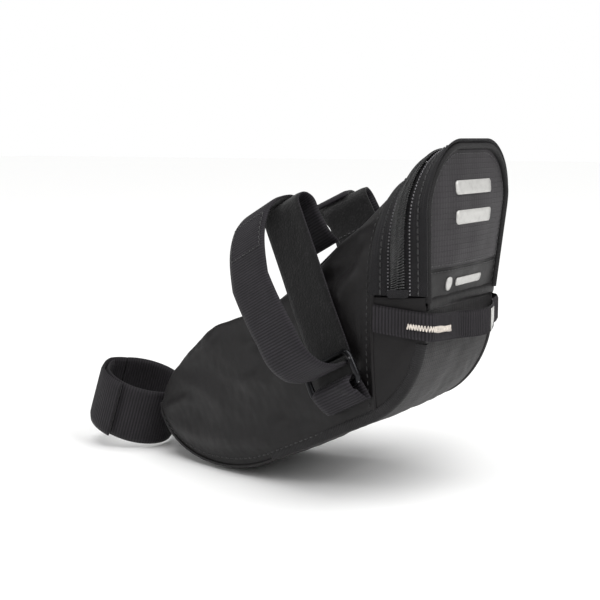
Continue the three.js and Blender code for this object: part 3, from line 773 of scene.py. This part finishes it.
def shell_grid():
    """Rows run from the zip seam to the tip, columns from the left bottom seam over the top."""
    a = np.linspace(0, 1, SHELL_ROWS)
    bottom = UNDERSIDE.at(lerp(underside_share(SEAM_Y), 0.99, a))
    ridge = RIDGE.at(1 - a * 0.985)
    y_top, top, radius = ridge[:, 0], ridge[:, 1], shoulder(ridge[:, 0])
    b = np.linspace(0, 1, SIDE_COLUMNS)
    over = np.concatenate([
        np.linspace(0, SHOULDER, ARC_COLUMNS + 1)[1:],
        np.linspace(SHOULDER, 1 - SHOULDER, FLAT_COLUMNS + 1)[1:],
        np.linspace(1 - SHOULDER, 1, ARC_COLUMNS + 1)[1:-1],
    ])
    side_y = lerp(bottom[:, :1], y_top[:, None], b)
    side_z = lerp(bottom[:, 1:], (top - radius)[:, None], b)
    side_x = -half_width(side_y)
    x, z, nx, nz = over_shoulders(over[None], half_width(y_top)[:, None], top[:, None], radius[:, None])
    y, nx, nz = y_top[:, None] + 0 * x, nx + 0 * x, nz + 0 * x
    left = join(side_x, side_y, side_z)
    points = np.concatenate([left, join(x, y, z), mirror(left)[:, ::-1]], axis=1)
    one, none = np.ones_like(side_x), np.zeros_like(side_x)
    normal_x = np.concatenate([-one, nx, one], axis=1)
    normal_z = np.concatenate([none, nz, none], axis=1)
    rows = a[:, None] + 0 * points[..., 0]
    up = np.concatenate([b, np.ones(len(over)), b[::-1]])[None] + 0 * rows
    yy, zz = points[..., 1], points[..., 2]
    left_relief, right_relief = side_relief(yy, zz, rows, up, 3), side_relief(yy, zz, rows, up, 31)
    to_right = smooth(-0.3, 0.3, normal_x)
    edge = smooth(0, 0.1, rows)
    sag = edge * (1.0 * ripple(yy, points[..., 0], 11, 26) + 0.4 * ripple(yy, points[..., 0], 12, 10) - 1.4)
    relief = lerp(lerp(left_relief, right_relief, to_right), sag, smooth(0.55, 1.0, np.abs(normal_z)))
    return points + join(normal_x * relief, 0 * relief, normal_z * relief)


# ---- Base and corner panels ----
def under_sheet(p, out, x, lift):
    """Grid across the underside's points p; lift raises it along out."""
    return join(x, p[:, :1] + out[:, :1] * lift, p[:, 1:] + out[:, 1:] * lift)


def base_grid():
    a = np.linspace(0, 0.995, 190)[:, None]
    v = np.linspace(-1, 1, 46)[None, :]
    p = UNDERSIDE.at(a[:, 0])
    x = (half_width(p[:, 0])[:, None] - 0.15) * v
    run = a * UNDERSIDE.length
    edge = (1 - np.abs(v)**3) * bump(a)**0.35
    puff = 1.2 * edge + edge * (0.35 * ripple(run, x, 21, 30) + 0.2 * ripple(run, x, 22, 11))
    return under_sheet(p, UNDERSIDE.normal(a[:, 0]), x, puff)


def corner_grid(seed):
    rows, columns = 40, 30
    share = np.linspace(0.0, underside_share(SEAM_Y), rows)
    bottom = UNDERSIDE.at(share)
    a = np.linspace(0, 1, rows)[:, None]
    b = np.linspace(0, 1, columns)[None, :]
    top = join(lerp(REAR_Y, SEAM_Y, a[:, 0]), np.full(rows, ZIP_END_Z - 0.4))
    flat = lerp(bottom[:, None], top[:, None], b[..., None])
    y, z = flat[..., 0], flat[..., 1]
    edge = bump(a)**0.6 * bump(b)**0.6
    relief = 0.5 * edge + edge * (0.4 * ripple(y, z, seed, 16) + fold(y, z, (-58, -42), (-46, -60), 3.0, 0.7))
    return join(-REAR_HALF - relief, y, z), flat


def make_foam():
    """Sheet of foam that lies inside the underside."""
    share = np.linspace(0.07, underside_share(20), 120)[:, None]
    v = np.linspace(-1, 1, 30)[None, :]
    p = underside_offset(share[:, 0], CLOTH + 0.5)
    x = (half_width(p[:, 0])[:, None] - 5.6) * v
    wave = 0.15 * ripple(share * UNDERSIDE.length, x, 71, 14)
    points = under_sheet(p, -UNDERSIDE.normal(share[:, 0]), x, wave)
    obj = panel("base_foam", points, 2.0, FOAM, outward=(0, -0.3, -1))
    finish_piece(obj, "bag", "foam", "base_stiffener")


def make_seams():
    """Piped seam in front of the zip, the seam round the front and its topstitching."""
    points = shell_grid()
    normals = grid_normals(points)
    if (normals[:, :12] @ np.array([-1, 0, 0.01])).sum() < 0:
        normals = -normals
    obj = tube("zip_seam_piping", points[0] + np.array([0, -0.3, 0]), 0.75, 8, NYLON, up=(0, 1, 0.01))
    finish_piece(obj, "bag", "smooth_nylon")
    start = int(np.argmax(points[:, 0, 1] > 4))
    for column, sign in ((0, -1), (-1, 1)):
        edge = points[start:, column] + np.array([sign * 0.1, 0, 0])
        obj = tube(f"front_seam_{'left' if sign < 0 else 'right'}", edge, 0.7, 8, NYLON, up=(1, 0, 0.01))
        finish_piece(obj, "bag", "smooth_nylon")
    lines = [(points[6:, column], normals[6:, column]) for column in (5, -6)]
    lines.append((points[3, 4:-4], normals[3, 4:-4]))
    obj = stitches("shell_stitches", lines, DARK_THREAD, 2.7, 2.1, 0.2)
    finish_piece(obj, "bag", "smooth_nylon")


def make_shell():
    points = shell_grid()
    obj = panel("shell_cloth", points, CLOTH, NYLON, LINING, cloth_uv(points), (-1, 0, 0.01))
    finish_piece(obj, "bag", "smooth_nylon", "side_panel_left", "side_panel_right", "top_panel_front",
                 "top_panel_rear")
    for side, seed in (("left", 5), ("right", 33)):
        corner, corner_uv = corner_grid(seed)
        points = corner if side == "left" else mirror(corner)
        obj = panel(f"corner_panel_{side}_cloth", points, CLOTH, NYLON, LINING, corner_uv, OUTSIDE[side])
        finish_piece(obj, "bag", "smooth_nylon", f"corner_panel_{side}")
    obj = panel("base_panel_cloth", base_grid(), CLOTH, RIPSTOP_BASE, LINING, outward=(0, -0.3, -1))
    finish_piece(obj, "bag", "ripstop_nylon", "base_panel_front", "base_panel_rear")
    make_foam()
    make_seams()


make_shell()


# ---- Zip band ----
LEG_SHARE = 3 / 26  # share of the zip band that one straight leg takes
COIL_WIRE = 0.3
TAPE_GAP = 0.2
SEW_LINE, HEM_LINE = 4.1, 7.2  # from the zip's middle


def arch_at(y):
    share = (SEAM_Y - y) / (SEAM_Y - REAR_Y)
    return lerp(ARCH_FRONT[0], ARCH_REAR[0], share), lerp(ARCH_FRONT[1], ARCH_REAR[1], share)


def on_arch(u, y, height):
    """Point of the zip band at share u of its length; height is above its inner face."""
    u, y, height = np.broadcast_arrays(np.asarray(u, float), np.asarray(y, float), np.asarray(height, float))
    top, radius = arch_at(y)
    from_end = np.minimum(u, 1 - u)
    leg = from_end < LEG_SHARE
    x_leg = np.where(u < 0.5, -1, 1) * (REAR_HALF + height)
    z_leg = lerp(ZIP_END_Z, top - radius, from_end / LEG_SHARE)
    x, z, nx, nz = over_shoulders((u - LEG_SHARE) / (1 - 2 * LEG_SHARE), REAR_HALF, top, radius)
    x, z = np.where(leg, x_leg, x + nx * height), np.where(leg, z_leg, z + nz * height)
    return join(x, y, z)


def even_shares(y, count):
    """Shares that are evenly spaced along the arch at y."""
    u = np.linspace(0, 1, 1200)
    path = Path(on_arch(u, y, TAPE))
    return np.interp(np.linspace(0, 1, count), path.run / path.length, u)


def tape_grid(from_y, to_y, dip):
    """A tape that curls up a little at the coil, whose edge is at to_y."""
    u = even_shares((from_y + to_y) / 2, 150)[:, None]
    v = np.linspace(0, 1, 9)[None, :]
    height = TAPE - dip * bump(v) + 0 * u
    return on_arch(u, lerp(from_y, to_y, v), height)


def coil_points(y, towards):
    """A nylon monofilament wound into a flat coil that runs along the tape's edge."""
    turns_per_mm, reach = 1.15, 3.0
    u_even = even_shares(y, 900)
    turns = int(Path(on_arch(u_even, y, TAPE)).length * turns_per_mm)
    angle = np.linspace(0, 2 * np.pi * turns, turns * 14)
    share = np.interp(angle / angle[-1], np.linspace(0, 1, 900), u_even)
    across = 0.5 + 0.5 * np.cos(angle)
    lift = 0.85 + 0.62 * np.sin(angle)
    return on_arch(share, y + towards * across * reach, TAPE + 0.35 + lift)


def make_zip():
    for part, start, body in (("body", SEAM_Y + 0.8, "bag"), ("lid", REAR_Y - 1.0, "lid")):
        sign = 1 if part == "body" else -1
        grid = tape_grid(start, ZIP_MID_Y + sign * TAPE_GAP, 0.35)
        obj = panel(f"zip_tape_{part}_cloth", grid, TAPE * 0.8, TAPE_CLOTH, outward=(0, 0, 1))
        finish_piece(obj, body, "zip_tape", f"zip_tape_{part}")
        points = coil_points(ZIP_MID_Y - sign * 0.35, sign)
        obj = tube(f"zip_coil_{part}_wire", points, COIL_WIRE, 6, COIL, up=(0, 1, 0.01))
        finish_piece(obj, body, "zip_coil", f"zip_coil_{part}")
        # Pale grey zip stitches beside the coil: real stitching whose colour also paints highlight dots.
        u = even_shares(ZIP_MID_Y, 500)
        line = on_arch(u, ZIP_MID_Y + sign * SEW_LINE, TAPE + 0.05)
        normals = on_arch(u, ZIP_MID_Y + sign * SEW_LINE, TAPE + 1.0) - line
        obj = stitches(f"zip_stitches_{part}", [(line, normals)], GREY_THREAD_AND_HIGHLIGHT, 1.25, 0.6, 0.24)
        finish_piece(obj, body, "zip_coil")
        hem = on_arch(u, ZIP_MID_Y + sign * HEM_LINE, TAPE + 0.02)
        obj = stitches(f"zip_hem_stitches_{part}", [(hem, normals)], DARK_THREAD, 2.4, 1.9, 0.22)
        finish_piece(obj, body, "zip_tape")
    for end, side in ((0.0, "left"), (1.0, "right")):
        foot = on_arch(end, ZIP_MID_Y, TAPE + 1.2) + np.array([0, 0, 0.9])
        outline = rounded_bar(7.4, 3.0, 1.0, ZIP_MID_Y, foot[2])
        obj = block(f"zip_stop_{side}", outline, foot[0] - 0.9, foot[0] + 1.1, TAPE_CLOTH)
        finish_piece(obj, "bag", "zip_tape")


make_zip()


# ---- Lid ----
WELT = 2.2
PRINTS = {  # width, height, corner radius, x and z
    "reflective_bar_upper": (31, 5, 1.7, 0, 11.3),
    "reflective_bar_lower": (31, 5, 1.7, 0, 0.7),
    "reflective_dot": (5, 5, 2.4, -17, -23),
    "reflective_dash": (26, 3, 1.4, 3, -23),
}


def lid_half(z, inset=0.0):
    top, radius = ARCH_REAR[0] - inset, ARCH_REAR[1] - inset
    half = REAR_HALF - inset
    rise = np.clip(z - (top - radius), 0, radius)
    return half - radius + np.sqrt(np.maximum(radius**2 - rise**2, 0))


def lid_surface(x, z):
    """Outer face of the lid: it bulges to the rear in its middle."""
    across = 1 - np.clip(np.abs(x) / (lid_half(z, WELT) + 0.01), 0, 1)**2.2
    up = smooth(25.5, 4, z) * smooth(HINGE_Z, HINGE_Z + 16, z)
    waves = 0.25 * ripple(x, z, 41, 26) + 0.12 * ripple(x, z, 42, 9)
    seam = -0.5 * np.exp(-((z - LID_SPLIT_Z) / 1.1)**2)
    return LID_OUT_Y + 1.2 - 2.7 * across * up - (0.7 * waves + seam) * np.minimum(1, across * 4)


def lid_grid(from_z, to_z, rows, inset):
    z = lerp(from_z, to_z, np.linspace(0, 1, rows)**0.9)[:, None]
    t = np.linspace(-1, 1, 70)[None, :]
    x = lid_half(z, inset) * t
    z = z + 0 * x
    return join(x, lid_surface(x, z), z), join(z, x)


def arch_line(inset, y, count=260):
    """The lid's outline, inset by that much, from the lower left up and over to the lower right."""
    lowest = HINGE_Z + 0.6
    top, radius, half = ARCH_REAR[0] - inset, ARCH_REAR[1] - inset, REAR_HALF - inset
    line = np.vstack([
        [(-half, lowest)],
        arc(180, 90, radius, 40, (-half + radius, top - radius)),
        arc(90, 0, radius, 40, (half - radius, top - radius)),
        [(half, lowest)],
    ])
    p = Path(line).at(np.linspace(0, 1, count))
    return join(p[:, 0], np.full(count, y, float), p[:, 1])


def make_lid_fold():
    """Strip of cloth that bridges the fold between the underside and the lid."""
    turn = np.linspace(0, np.pi, 14)[:, None]
    x = np.linspace(-1, 1, 40)[None, :] * (REAR_HALF - 0.8)
    y = LID_OUT_Y + 1.6 - 1.1 * np.sin(turn) + 0 * x
    z = HINGE_Z - 2.4 * np.cos(turn) + 0.15 * ripple(x, 0 * x, 61, 9)
    points = join(x + 0 * turn, y, z)
    obj = panel("lid_fold_cloth", points, 0.7, NYLON, LINING, outward=(0, -1, 0))
    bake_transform(obj)


def make_lid():
    points, uv = lid_grid(LID_SPLIT_Z, ARCH_REAR[0] - WELT - 0.05, 90, WELT - 0.3)
    obj = panel("lid_upper_cloth", points, 1.3, RIPSTOP, LINING, uv, (0, -1, 0))
    finish_piece(obj, "lid", "ripstop_nylon", "lid_panel_upper")
    points, uv = lid_grid(HINGE_Z + 0.4, LID_SPLIT_Z + 0.2, 26, WELT - 0.3)
    obj = panel("lid_lower_cloth", points, 1.3, NYLON, LINING, uv, (0, -1, 0))
    finish_piece(obj, "lid", "smooth_nylon", "lid_panel_lower")
    line = arch_line(WELT / 2, LID_OUT_Y + 0.9)
    obj = tube("lid_welt_cord", line, 1.2, 12, WELT_CLOTH, up=(0, 1, 0), squash=1.1)
    finish_piece(obj, "lid", "grosgrain", "lid_welt")
    rear = np.array([0, -1.0, 0])
    inner = arch_line(WELT + 1.5, 0, 300)
    inner[:, 1] = lid_surface(inner[:, 0], inner[:, 2])
    seams = [(inner, np.broadcast_to(rear, inner.shape))]
    for z in (LID_SPLIT_Z + 1.3, LID_SPLIT_Z - 1.1):
        x = np.linspace(-1, 1, 120) * (lid_half(np.array(z)) - WELT - 0.8)
        line = join(x, lid_surface(x, np.full(120, z)), np.full(120, z))
        seams.append((line, np.broadcast_to(rear, line.shape)))
    obj = stitches("lid_stitches", seams, DARK_THREAD)
    finish_piece(obj, "lid", "ripstop_nylon")
    for node, bar in PRINTS.items():
        obj = plate(f"{node}_film", rounded_bar(*bar), lid_surface, 0.5, SILVER)
        finish_piece(obj, "lid", "reflective_print", node)
    points, _ = lid_grid(HINGE_Z + 1.2, ARCH_REAR[0] - 3.2, 60, 3.2)
    points[..., 1] += 1.6
    obj = panel("lid_lining_cloth", points, 0.7, LINING, LINING, outward=(0, -1, 0))
    finish_piece(obj, "lid", "lining", "lid_lining")
    make_lid_fold()


make_lid()


# ---- Light loop ----
LOOP_WIDTH = 10.0
LOOP_THICK = 1.1
LOOP_MID_Z, LOOP_RISE = -38.5, 4.5  # height of its middle, and how much higher its ends are
LOOP_PATH = spline([
    (-37.4, SEAM_Y - 1), (-37.4, -50), (-37.9, -60), (-36.4, -63.9), (-31, -64.9), (-12, -65.2),
    (-3, -68.4), (8, -70.2), (19, -68.2), (27, -65.2), (31, -64.9), (36.4, -63.9), (37.9, -60), (37.4, -50),
    (37.4, SEAM_Y - 1)])
BARTACK = (0.115, 0.325)  # shares of the loop between which its zigzag stitching runs
BARTACK_TURNS = 53


def on_loop(u, out=0.0, up=0.0):
    """Point on the light loop; out is from the middle of its thickness, up from its centre line."""
    p = LOOP_PATH.at(u) + LOOP_PATH.normal(u) * np.asarray(out).reshape(-1, 1)
    return join(p[:, 0], p[:, 1], LOOP_MID_Z + LOOP_RISE * (2 * u - 1)**2 + up)


def make_loop():
    centre = on_loop(np.linspace(0, 1, int(LOOP_PATH.length / 0.3)))
    side = np.broadcast_to([0, 0, 1.0], centre.shape)
    obj = ribbon("light_loop_webbing", centre, side, LOOP_WIDTH, LOOP_THICK, (WEB_LOOP, WEB_LOOP),
                 (1.25, 0.28, 1, 1))
    finish_piece(obj, "bag", "webbing", "light_loop")
    zigzag = np.linspace(*BARTACK, BARTACK_TURNS)
    swing = np.where(np.arange(BARTACK_TURNS) % 2, 1.05, -1.05) - 0.6
    points = on_loop(zigzag, LOOP_THICK / 2 + 0.22, swing)
    fine = Path(points).at(np.linspace(0, 1, 420))
    obj = tube("bartack_thread", fine, 0.26, 6, CREAM, up=(0, 0.3, 1))
    finish_piece(obj, "bag", "pale_thread", "light_loop_stitching")
    rows = []
    for i, u in enumerate(np.linspace(0.585, 0.64, 14)):
        reach = lerp(4.2, 0.6, i / 13)
        rows.append(on_loop(np.full(6, u), LOOP_THICK / 2 + 0.25, np.linspace(-reach, 4.2, 6)))
    obj = panel("reflective_corner_patch", np.array(rows), 0.25, SILVER, outward=(0, -1, 0))
    finish_piece(obj, "bag", "reflective_print", "light_loop_reflector")


make_loop()


# ---- Rail straps ----
SIDE_SLANT = math.atan((REAR_HALF - TIP_HALF) / (TIP_Y - SEAM_Y))
OUT = np.array([-math.cos(SIDE_SLANT), math.sin(SIDE_SLANT), 0])
REARWARD = np.array([-math.sin(SIDE_SLANT), -math.cos(SIDE_SLANT), 0])
UP = np.array([0, 0, math.cos(STRAP_LEAN)]) - REARWARD * math.sin(STRAP_LEAN)
ACROSS = np.array([0, 0, math.sin(STRAP_LEAN)]) + REARWARD * math.cos(STRAP_LEAN)
RAIL_WRAP = 4.6
RING_OUT = 9.0
RING_MID_UP = -63.25
RING_LOW_UP = -69.0
RING_WIRE = 2.6
BAND_POINTS = [
    (-9.2, -15.6), (-6.2, -11), (-RAIL_WRAP, -4), (-RAIL_WRAP * 0.92, 1.6),
    (-RAIL_WRAP * 0.5, RAIL_WRAP * 0.87), (0, RAIL_WRAP), (RAIL_WRAP * 0.5, RAIL_WRAP * 0.87),
    (RAIL_WRAP * 0.92, 1.6), (RAIL_WRAP, -4), (5, -20), (5.7, -38), (5.8, -55), (6.5, -59.4), (9.3, -61.2),
    (15, -61.6)]
TAIL_POINTS = [
    BAND_POINTS[-1], (21.5, -59.6), (26.4, -54), (28.0, -46.0), (27.2, -34), (24.6, -20), (20.4, -8),
    (14, 1), (7, 5.6), (0, 6.8), (-4.5, 5.6)]
TAB_POINTS = [
    (5.3, -76), (5.5, -73), *arc(180, 0, RING_WIRE / 2 + 1.5, 9, (RING_OUT, RING_LOW_UP)).tolist(),
    (RING_OUT + 1.4, -72.3), (7.7, -75.6)]
TAIL_SHIFT = -7.0
TAB_THICK = 1.3
STRAP_STEP = 0.25


def from_rail(points, across=0.0):
    """Points (out, up) of the left strap's plane, across its width towards the rear."""
    p = np.asarray(points, float)
    across = np.broadcast_to(across, p.shape[:-1])[..., None]
    return np.array([-RAIL_HALF_SPACING, 0, 0]) + p[..., :1] * OUT + p[..., 1:2] * UP + across * ACROSS


def strap_piece(name, points, shifts, materials, side, ribs, thickness=WEBBING):
    """A strap through points of its plane; shifts moves it sideways at even shares of its length."""
    path = spline(points)
    u = np.linspace(0, 1, int(path.length / STRAP_STEP))
    shift = np.interp(u, np.linspace(0, 1, len(shifts)), shifts)
    centre = from_rail(path.at(u), shift)
    across = np.broadcast_to(ACROSS, centre.shape)
    if side == "right":
        centre, across = mirror(centre), mirror(across)
        materials, ribs = materials[::-1], (ribs[0], ribs[1], ribs[3], ribs[2])
    return ribbon(name, centre, across, RAIL_STRAP_WIDTH, thickness, materials, ribs)


def make_rail_straps():
    for side in ("left", "right"):
        flip = mirror if side == "right" else (lambda p: p)
        ribs = (1.05, 0.16, 0, 1)
        obj = strap_piece(f"rail_strap_{side}_band", BAND_POINTS, (0, 0), (PILE, WEB), side, ribs)
        finish_piece(obj, "bag", "strap_pile", f"rail_strap_{side}")
        shifts = (0, -1, TAIL_SHIFT, TAIL_SHIFT, TAIL_SHIFT)
        obj = strap_piece(f"rail_strap_{side}_tail", TAIL_POINTS, shifts, (PILE, WEB), side, ribs)
        flip(from_rail((26, -54))) * MM
        flip(from_rail((28, -40))) * MM
        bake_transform(obj)
        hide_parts(f"rail_strap_tail_{side}")
        make_ring(side, flip)
        make_strap_stitches(side, flip)


def strap_seams(path, first, last, across, turn, lift):
    """Box of stitches between two shares of a strap's path; turn is 1 or -1 for the face it lies on."""
    reach, count = RAIL_STRAP_WIDTH / 2 - 1.8, 12
    u = np.linspace(first, last, 2 * count)
    normal = path.normal(u) * turn
    on_face = path.at(u) + normal * lift

    def seam(points, normals, shift):
        foot = from_rail(points, shift)
        return foot, from_rail(points + normals, shift) - foot

    lines = [seam(on_face, normal, across + a) for a in (-reach, reach)]
    for end in (0, -1):
        points, normals = (np.repeat(k[end][None], count, axis=0) for k in (on_face, normal))
        lines.append(seam(points, normals, across + np.linspace(-reach, reach, count)))
    return lines


def make_strap_stitches(side, flip):
    tail = strap_seams(spline(TAIL_POINTS), 0.62, 0.78, TAIL_SHIFT, 1, WEBBING / 2)
    fixed = strap_seams(spline(BAND_POINTS), 0.01, 0.07, 0.0, -1, WEBBING / 2)
    fixed += strap_seams(spline(TAB_POINTS), 0.8, 0.96, 0.0, 1, TAB_THICK / 2)
    for part, lines, body in (("_tail", tail, f"tail_{side}"), ("", fixed, "bag")):
        lines = [(flip(a), flip(b)) for a, b in lines]
        obj = stitches(f"rail_strap_{side}{part}_stitches", lines, DARK_THREAD, 2.0, 1.6, 0.22)
        finish_piece(obj, body, "webbing")


def make_ring(side, flip):
    radius = RING_WIRE / 2 - 0.1
    line = rounded_bar(21 + RING_WIRE, 8.9 + RING_WIRE, 2.4, 0, RING_MID_UP)
    loop = from_rail(join(np.full(len(line), RING_OUT), line[:, 1]), line[:, 0])
    obj = tube(f"strap_ring_{side}_wire", flip(loop), radius, 14, METAL, closed=True, up=flip(OUT))
    finish_piece(obj, f"ring_{side}", "black_metal", f"strap_ring_{side}")
    obj = strap_piece(f"ring_tab_{side}_webbing", TAB_POINTS, (0, 0), (WEB, WEB), side, (1.05, 0.14, 1, 1),
                      TAB_THICK)
    finish_piece(obj, "bag", "webbing", f"ring_tab_{side}")


make_rail_straps()


# ---- Seatpost strap ----
POST_WRAP = 17.0
TAIL_WRAP = 19.1


def from_post(points, up=0.0):
    """Points (x, ahead) square to the post, up along it."""
    p = np.asarray(points, float)
    y = POST_AXIS[0] + p[..., 1] * math.cos(POST_LEAN) - up * math.sin(POST_LEAN)
    z = POST_AXIS[1] + p[..., 1] * math.sin(POST_LEAN) + up * math.cos(POST_LEAN)
    return join(p[..., 0], y, z)


def post_band(name, degrees, radii):
    """A band round the post through those radii at those angles, which rise."""
    a = np.radians(np.arange(degrees[0], degrees[-1], 0.85))
    r = np.interp(np.degrees(a), degrees, radii)
    centre = from_post(join(r * np.cos(a), r * np.sin(a)))
    along = from_post((0, 0), 1.0) - from_post((0, 0), 0.0)
    side = np.broadcast_to(along, centre.shape)
    finish, ribs = (WEB_POST, WEB_POST), (1.2, 0.22, 1, 1)
    return ribbon(name, centre, side, POST_STRAP_WIDTH, 1.8, finish, ribs, 11)


def make_post_strap():
    obj = post_band("post_strap_webbing", (100, 180, 360, 432), (POST_WRAP,) * 4)
    finish_piece(obj, "bag", "webbing", "post_strap")
    obj = post_band("post_strap_tail_webbing", (72.5, 98, 186), (POST_WRAP, TAIL_WRAP, TAIL_WRAP))
    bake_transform(obj)
    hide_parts("post_strap_tail")


make_post_strap()


# ---- Edge bindings ----
def binding_grid():
    """A tape folded over the seam: up the side, round the edge and under the base."""
    share = np.linspace(0.075, underside_share(6), 230)
    rows = []
    profile = spline([
        (-3.4, 0.35), (-2.6, 0.9), (-0.8, 1.1), (0.2, 0.8), (0.7, -0.6), (0.6, -1.8), (0.2, -2.6)])
    for inward, out in profile.at(np.linspace(0, 1, 14)):
        p = underside_offset(share, -inward)
        rows.append(join(-half_width(p[:, 0]) - out, p[:, 0], p[:, 1]))
    return np.stack(rows, axis=1)


def make_bindings():
    grid = binding_grid()
    for side in ("left", "right"):
        points = mirror(grid) if side == "right" else grid
        obj = panel(f"edge_binding_{side}_tape", points, 0.5, BINDING, outward=OUTSIDE[side])
        finish_piece(obj, "bag", "grosgrain", f"edge_binding_{side}")


make_bindings()


# ---- Zip slider and puller, on the right leg of the zip ----
SLIDER_Z = -18.5
BRIDGE_HEIGHT = 4.6


def make_slider():
    mid_z, bridge = SLIDER_Z, REAR_HALF + BRIDGE_HEIGHT
    turn = np.linspace(0, 2 * np.pi, 48, endpoint=False)
    waist = 1 + 0.1 * np.cos(2 * turn) - 0.07 * np.sin(turn)
    shield = join(ZIP_MID_Y + 4.0 * waist * np.cos(turn), mid_z + 5.4 * np.sin(turn))
    pieces = [block("zip_slider_plate", shield, bridge - 1.0, bridge, METAL),
              block("zip_slider_inner_plate", shield, REAR_HALF - 1.9, REAR_HALF - 1.1, METAL)]
    post = rounded_bar(0.55, 3.6, 0.2, ZIP_MID_Y, mid_z + 3.2)
    pieces.append(block("zip_slider_post", post, REAR_HALF - 1.5, bridge - 0.4, METAL, 0.1))
    half = np.linspace(0, np.pi, 30)
    line = join(bridge + 0.2 + 2.6 * np.sin(half), np.full(30, ZIP_MID_Y), mid_z + 3.6 * np.cos(half))
    pieces.append(tube("zip_slider_bridge", line, 0.75, 10, METAL, up=(0, 1, 0)))
    for obj in pieces:
        finish_piece(obj, "slider", "black_metal")
    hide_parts("zip_slider")
    loop = rounded_bar(5.3, 9.9, 1.4, ZIP_MID_Y, mid_z - 4.4)
    wire = join(np.full(len(loop), bridge + 1.2), loop[:, 0], loop[:, 1])
    obj = tube("puller_wire", wire, 0.55, 10, METAL, closed=True, up=(1, 0, 0))
    finish_piece(obj, "puller", "black_metal", "puller_link")
    tab = rounded_bar(7, 16, 1.6, ZIP_MID_Y, mid_z - 16.3)
    obj = block("puller_webbing", tab, bridge + 0.2, bridge + 2.2, WEB, 0.4)
    finish_piece(obj, "puller", "webbing", "puller_tab")


make_slider()


# ---- CAD pieces whose shape stands: they get their own materials ----
for cad_node, cad_material in (
        ("front_tip_binding", BINDING), ("anchor_patch_left", WEB), ("anchor_patch_right", WEB)):
    cad_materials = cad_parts[cad_node].data.materials
    cad_materials.clear()
    cad_materials.append(cad_material)


# ---- Floor, lights and camera ----
def area_light(name, place, target, size, power, tint=(1, 1, 1)):
    data = bpy.data.lights.new(name, "AREA")
    data.shape = "RECTANGLE"
    data.size, data.size_y = size
    data.energy = power
    data.color = tint
    obj = bpy.data.objects.new(name, data)
    obj.location = Vector(place)
    obj.rotation_euler = (Vector(target) - Vector(place)).to_track_quat("-Z", "Y").to_euler()
    bpy.context.scene.collection.objects.link(obj)


def make_studio():
    floor_z = cad_bounds[0].z - 0.001
    size = 6.0
    mesh = bpy.data.meshes.new("floor")
    corners = [(x * size, y * size, floor_z) for x, y in ((-1, -1), (1, -1), (1, 1), (-1, 1))]
    mesh.from_pydata(corners, [], [(0, 1, 2, 3)])
    floor = bpy.data.objects.new("floor", mesh)
    bpy.context.scene.collection.objects.link(floor)
    pale = bpy.data.materials.new("pale_floor")
    pale.use_nodes = True
    inputs = pale.node_tree.nodes["Principled BSDF"].inputs
    inputs["Base Color"].default_value = (0.92, 0.92, 0.915, 1)
    inputs["Roughness"].default_value = 0.9
    mesh.materials.append(pale)
    world = bpy.data.worlds.new("studio")
    world.use_nodes = True
    tree = world.node_tree
    backdrop, ambient = tree.nodes["Background"], tree.nodes.new("ShaderNodeBackground")
    backdrop.inputs["Color"].default_value = (1, 1, 1, 1)
    ambient.inputs["Color"].default_value = (1, 1, 1, 1)
    ambient.inputs["Strength"].default_value = 0.26
    rays, choose = tree.nodes.new("ShaderNodeLightPath"), tree.nodes.new("ShaderNodeMixShader")
    tree.links.new(rays.outputs["Is Camera Ray"], choose.inputs[0])
    tree.links.new(ambient.outputs[0], choose.inputs[1])
    tree.links.new(backdrop.outputs[0], choose.inputs[2])
    tree.links.new(choose.outputs[0], tree.nodes["World Output"].inputs["Surface"])
    bpy.context.scene.world = world
    middle = (0, 0, -0.04)
    area_light("key_light", (-0.35, -1.2, 0.75), middle, (0.5, 0.5), 7)
    area_light("front_light", (-1.0, 0.9, 0.45), middle, (0.4, 0.6), 5)
    sun = bpy.data.lights.new("soft_sun", "SUN")
    sun.energy = 2.9
    sun.angle = math.radians(60)
    lamp = bpy.data.objects.new("soft_sun", sun)
    lamp.rotation_euler = Vector((0.2, 0.35, -1)).to_track_quat("-Z", "Y").to_euler()
    bpy.context.scene.collection.objects.link(lamp)


def make_camera():
    data = bpy.data.cameras.new("camera")
    data.lens = 72
    data.sensor_width = 36
    data.clip_start = 0.01
    camera = bpy.data.objects.new("camera", data)
    camera.location = (-0.405, -0.2397, 0.029)
    camera.rotation_euler = Vector((0.8434, 0.5201, -0.1346)).to_track_quat("-Z", "Y").to_euler()
    bpy.context.scene.collection.objects.link(camera)
    bpy.context.scene.camera = camera


make_studio()
make_camera()
bpy.context.scene.view_settings.view_transform = "Standard"
